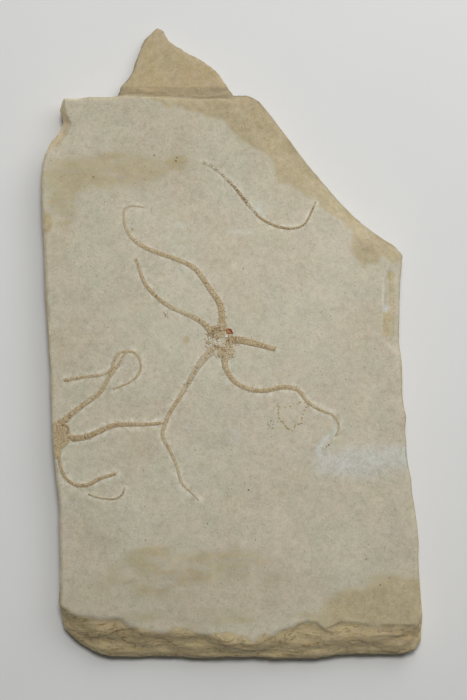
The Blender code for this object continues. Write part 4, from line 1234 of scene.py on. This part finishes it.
def starDiscLook(x, y):
    # tone, stray and bony share at a place; bare stone outside every patch, and a dark line along the edge as
    # painted shade under the pale patch
    if nearestOn(np.array([(x, y)]), starDiscShadeLine)[0][0] < 0.3:
        return 0.34, 0.1, 1.0
    best = (0.8, 0.2, 0.04)
    for ring, tone, stray, bony in starDiscPatches:
        inside = insideOne(x, y, ring)
        if inside > -0.35:
            best = (tone, stray, bony * min(max(0.5 + inside * 1.6, 0), 1))
            if inside > 0:
                break
    return best


def edgeDiscLook(x, y):
    inside = insideOne(x, y, edgeDiscBuild["ring"])
    for padX, padY, wide, long, turn in edgeDiscBuild["pads"]:
        inside = max(inside, 1 - math.hypot((x - padX) / wide, (y - padY) / long))
    return edgeDiscBuild["tone"], edgeDiscBuild["stray"], min(max(0.55 + inside, 0), 1)


def layBase(pieceName, build, lookAt):
    # a disc's worn ground: nearly level, uneven, with the look of each place kept on the mesh; flat pads
    # carry it on to the arms
    base = coreOf(nodeOf(pieceName), pieceName, build["height"], build["lift"])
    pads = [makeLens((x, y, stoneLevel(x, y)), (wide, long, build["padHigh"]), turn)
            for x, y, wide, long, turn in build["pads"]]
    base = joinPieces([base] + pads, pieceName)
    remesh(base, build["voxel"])
    displace(base, pieceName + "Wear", *build["wear"])
    shape = verticesOf(base)
    inside = insideDistance(shape[:, :2], build["ring"])
    for x, y, wide, long, turn in build["pads"]:
        inside = np.maximum(inside, 1.2 - np.hypot((shape[:, 0] - x) / wide, (shape[:, 1] - y) / long))
    shape[:, 2] -= np.clip(-inside, 0, 0.7) * 0.8  # outside the ring and the pads it dives into the stone
    setVertices(base, shape)
    tone, _, bony = zip(*(lookAt(x, y) for x, y, z in shape))
    setAttribute(base, "tone", tone)
    setAttribute(base, "bony", bony)
    return base


def scatterOver(base, build, seed, toneAt):
    # points thrown at random inside the ring, kept only where they have room, set on the base's own surface
    tree = BVHTree.FromPolygons([v.co / mm for v in base.data.vertices],
                                [p.vertices[:] for p in base.data.polygons])
    dice = random.Random(seed)
    low, high = np.min(build["ring"], axis=0), np.max(build["ring"], axis=0)
    kept = []
    for _ in range(build["granules"] * 30):
        x, y = dice.uniform(low[0], high[0]), dice.uniform(low[1], high[1])
        crowded = any((x - k[0]) ** 2 + (y - k[1]) ** 2 < build["gap"] ** 2 for k in kept)
        if crowded or insideOne(x, y, build["ring"]) < 0:
            continue
        tone, stray, bony = toneAt(x, y)
        if dice.random() > bony:
            continue
        hit = tree.ray_cast(Vector((x, y, 30.0)), Vector((0, 0, -1)))[0]
        z = max(hit.z if hit else 0, slabBuild["faceLevel"]) - 0.05
        kept.append((x, y, z, tone + dice.uniform(-stray, stray)))
        if len(kept) == build["granules"]:
            break
    return kept


def layDisc(pieceName, build, lookAt, seed, extras=()):
    print("fossils:", pieceName)
    base = layBase(pieceName, build, lookAt)
    knobs = scatterGranules(scatterOver(base, build, seed, lookAt), seed + 1, *build["granuleSizes"])
    dress(joinPieces([base, *extras] + knobs, pieceName), [nodeOf(pieceName)], bone)


def modelMouth(build):
    # the mouth frame: a rod spun round most of a circle, worn uneven
    x, y, level = build["mouthPlace"]
    middle = Vector((x, y, level)) * mm
    deselectAll()
    bpy.ops.mesh.primitive_circle_add(vertices=8, radius=build["mouthThickness"] * mm, fill_type="NGON",
                                      location=middle + Vector((build["mouthRadius"] * mm, 0, 0)),
                                      rotation=(math.pi / 2, 0, 0))
    mouth = bpy.context.object
    bpy.ops.object.transform_apply(location=True, rotation=True, scale=True)
    editWhole(mouth)
    bpy.ops.mesh.spin(steps=build["mouthSteps"], angle=math.radians(build["mouthArc"]), center=middle,
                      axis=(0, 0, 1))
    bpy.ops.mesh.select_all(action="SELECT")
    bpy.ops.mesh.remove_doubles(threshold=0.002 * mm)
    bpy.ops.mesh.normals_make_consistent(inside=False)
    leaveEdit()
    turned = Matrix.Rotation(math.radians(build["mouthStart"]), 4, "Z")
    mouth.data.transform(Matrix.Translation(middle) @ turned @ Matrix.Translation(-middle))
    displace(mouth, "mouthWear", *build["mouthWear"])
    setAttribute(mouth, "tone", build["mouthTone"])
    setAttribute(mouth, "bony", 1.0)
    return mouth


layDisc("starDisc", starDiscBuild, starDiscLook, 32)
layDisc("edgeStarDisc", edgeDiscBuild, edgeDiscLook, 42, [modelMouth(edgeDiscBuild)])


rustBuild = {
    "voxel": 0.08, "wear": (0.35, 0.22, 3, 0.55),  # mm; size, strength, depth and level
    "fill": (-0.75, 3.45, 14.1), "fillSize": (1.05, 0.85, 0.42),  # mm
    # towards the ochre side, and mm over which it gives way to the dark arc
    "inner": (-0.72, -0.69), "band": (-0.25, 0.45),
    "ochre": (0.44, 0.19, 0.06), "dark": (0.20, 0.045, 0.015), "roughness": 0.7,
}


def makeRust(build):
    rust = ShaderTree("rustOchre")
    share = rust.ramp(rust.sway(rust.attribute("arc"), rust.noise(2.2, 4), 1.0), 0.3, 0.7)
    return rust.finish(rust.mix(share, build["ochre"], build["dark"]), build["roughness"])


def modelRust(build):
    rust = copyNode("rust_grain", "rustCrust")
    deselectAll()
    bpy.ops.mesh.primitive_ico_sphere_add(subdivisions=3, radius=1, location=(0, 0, 0))
    fill = bpy.context.object
    setVertices(fill, verticesOf(fill) * mm * build["fillSize"] + build["fill"])
    rust = joinPieces([rust, fill], "rustCrust")
    remesh(rust, build["voxel"])
    displace(rust, "rustLumps", *build["wear"])
    flat = verticesOf(rust)[:, :2]
    outward = (flat - flat.mean(axis=0)) @ -np.array(build["inner"])
    setAttribute(rust, "arc", smoothStep(*build["band"], outward))
    return rust


print("grains: rustCrust")
dress(modelRust(rustBuild), ["rust_grain"], makeRust(rustBuild))


sparBuild = {
    # x, y, length, width in mm, turn in degrees
    "grains": [(-1.65, 1.85, 1.2, 0.7, 12), (-4.4, 0.5, 0.5, 0.35, 40), (-3.0, 0.2, 0.55, 0.4, -20),
               (-5.5, -0.2, 0.4, 0.35, 70), (-3.9, -0.8, 0.4, 0.3, 33)],
    "level": 14.22, "rise": 0.42, "foot": 0.6,
    "dull": (0.60, 0.56, 0.47), "bright": (0.86, 0.85, 0.82), "roughness": 0.45,
}


def modelCrystal():
    # a six-sided block with a stepped top, split off across one corner
    deselectAll()
    bpy.ops.mesh.primitive_cylinder_add(vertices=6, radius=0.5, depth=0.8, location=(0, 0, 0.1))
    crystal = bpy.context.object
    bpy.ops.object.transform_apply(location=True, rotation=True, scale=True)
    selectFaces(crystal, lambda face: face.normal.z > 0.9)
    bpy.ops.mesh.inset(thickness=0.16, depth=0.22)
    bpy.ops.mesh.select_all(action="SELECT")
    bpy.ops.mesh.bisect(plane_co=(0.12, 0, 0.5), plane_no=(0.75, 0.2, 0.6), use_fill=True, clear_outer=True)
    leaveEdit()
    return crystal


def makeSpar(build):
    white = ShaderTree("whiteCalcite")
    share = white.ramp(white.noise(3.0, 3), 0.35, 0.6)
    return white.finish(white.mix(share, build["dull"], build["bright"]), build["roughness"])


print("grains: whiteSpar")
crystal = modelCrystal()
grains = [copyTo(crystal, (x, y, sparBuild["level"]), math.radians(turn), length, width, sparBuild["rise"],
                 sparBuild["foot"], [1.0] * 3) for x, y, length, width, turn in sparBuild["grains"]]
dress(joinPieces(grains, "whiteSpar"), [], makeSpar(sparBuild))


dotBuild = {
    "ringGap": 0.62, "ringLow": 0.36, "ringHigh": 0.82, "rise": 0.06, "foot": 0.1, "jitter": 0.22,  # mm
    "ringGaps": 0.28, "topGaps": 0.6, "topStart": 0.7,  # shares left out, and where the faint top begins
    # tone and colour of a stain's grain: near black, brown, ochre, olive
    "tones": [(0.0, (0.12, 0.09, 0.06)), (0.35, (0.27, 0.17, 0.08)), (0.6, (0.40, 0.29, 0.13)),
              (1.0, (0.42, 0.37, 0.18))],
    "roughness": 0.85,
}
stainRing = [(14.7, -22.0), (15.6, -21.0), (15.6, -22.9), (15.8, -25.1), (17.1, -26.8), (17.9, -28.0),
    (19.6, -29.3), (20.5, -29.3), (21.5, -27.6), (23.4, -27.0), (23.6, -25.5), (24.1, -24.0), (24.7, -22.1),
    (25.6, -21.5), (24.1, -19.5), (22.6, -20.2), (20.9, -20.7), (19.2, -21.7), (17.2, -21.4), (15.6, -21.0)]
# x, y, width in mm and tone of the single stains and specks
stainSpots = [(4.0, 24.5, 0.8, 0.95), (-33.0, 37.7, 0.95, 1.0), (-22.5, 9.7, 0.5, 0.1),
    (-22.0, 9.1, 0.6, 0.0), (-21.6, 8.7, 0.4, 0.2), (-21.2, 8.3, 0.5, 0.1), (-22.1, 8.4, 0.4, 0.0),
    (-21.4, 9.4, 0.35, 0.2), (-18.5, 60.4, 0.9, 0.4), (-18.2, 61.5, 0.6, 0.3), (-25.7, 62.3, 0.7, 0.35),
    (12.5, -27.7, 0.5, 0.1), (13.2, -26.3, 0.45, 0.0), (13.8, -28.7, 0.5, 0.1), (12.3, -26.8, 0.3, 0.1),
    (13.6, -27.6, 0.35, 0.0), (12.9, -28.4, 0.4, 0.1), (11.9, -27.3, 0.3, 0.2), (13.0, -27.0, 0.3, 0.0),
    (14.0, -26.5, 0.3, 0.1), (12.2, -28.9, 0.35, 0.2), (13.4, -29.2, 0.3, 0.1), (-55.3, -12.2, 0.4, 0.25),
    (-54.6, -13.2, 0.35, 0.3), (-55.1, -13.9, 0.35, 0.25), (32.4, -34.3, 0.8, 0.3), (31.7, -34.9, 0.5, 0.2),
    (33.2, -33.7, 0.4, 0.25), (5.7, -49.3, 0.6, 0.1), (-38.0, -43.3, 0.4, 0.3), (-29.3, -42.8, 0.4, 0.3),
    (49.6, -81.0, 0.6, 0.2), (45.0, -72.3, 0.5, 0.1), (52.7, -78.7, 0.45, 0.1), (-46.0, 55.0, 0.6, 0.35),
    (20.5, 31.0, 0.4, 0.1), (-8.0, -60.5, 0.5, 0.1), (-28.7, -66.0, 0.4, 0.15), (38.0, -12.4, 0.4, 0.1),
    (-45.0, 22.0, 0.45, 0.1), (30.0, 10.0, 0.4, 0.1), (-12.0, -36.0, 0.4, 0.1), (8.0, -66.0, 0.45, 0.2)]


def stainPlaces(build, dice):
    # the single stains, then those along the ring
    places = list(stainSpots)
    points = smoothLine([(*point, 0) for point in stainRing], build["ringGap"])
    shift = build["jitter"]
    for number, (x, y, _) in enumerate(points):
        top = number > len(points) * build["topStart"]
        if dice.random() >= build["topGaps" if top else "ringGaps"]:
            places.append((x + dice.uniform(-shift, shift), y + dice.uniform(-shift, shift),
                           dice.uniform(build["ringLow"], build["ringHigh"]), dice.uniform(0.6, 1.0)))
    return places


def makeStain(build):
    stain = ShaderTree("ochreStain")
    tone = stain.sway(stain.attribute("tone"), stain.noise(3.0, 2), 0.3)
    return stain.finish(stain.toneRamp(tone, build["tones"]), build["roughness"])


print("grains: ochreDots")
dice = random.Random(51)
dots = [copyTo(granule, (x, y, stoneLevel(x, y)), dice.uniform(0, math.tau), width,
               width * dice.uniform(0.7, 1.0), dotBuild["rise"], dotBuild["foot"], [tone] * 3)
        for x, y, width, tone in stainPlaces(dotBuild, dice)]
dress(joinPieces(dots, "ochreDots"), [], makeStain(dotBuild))

for template in [*segments.values(), granule, crystal]:
    bpy.data.objects.remove(template)
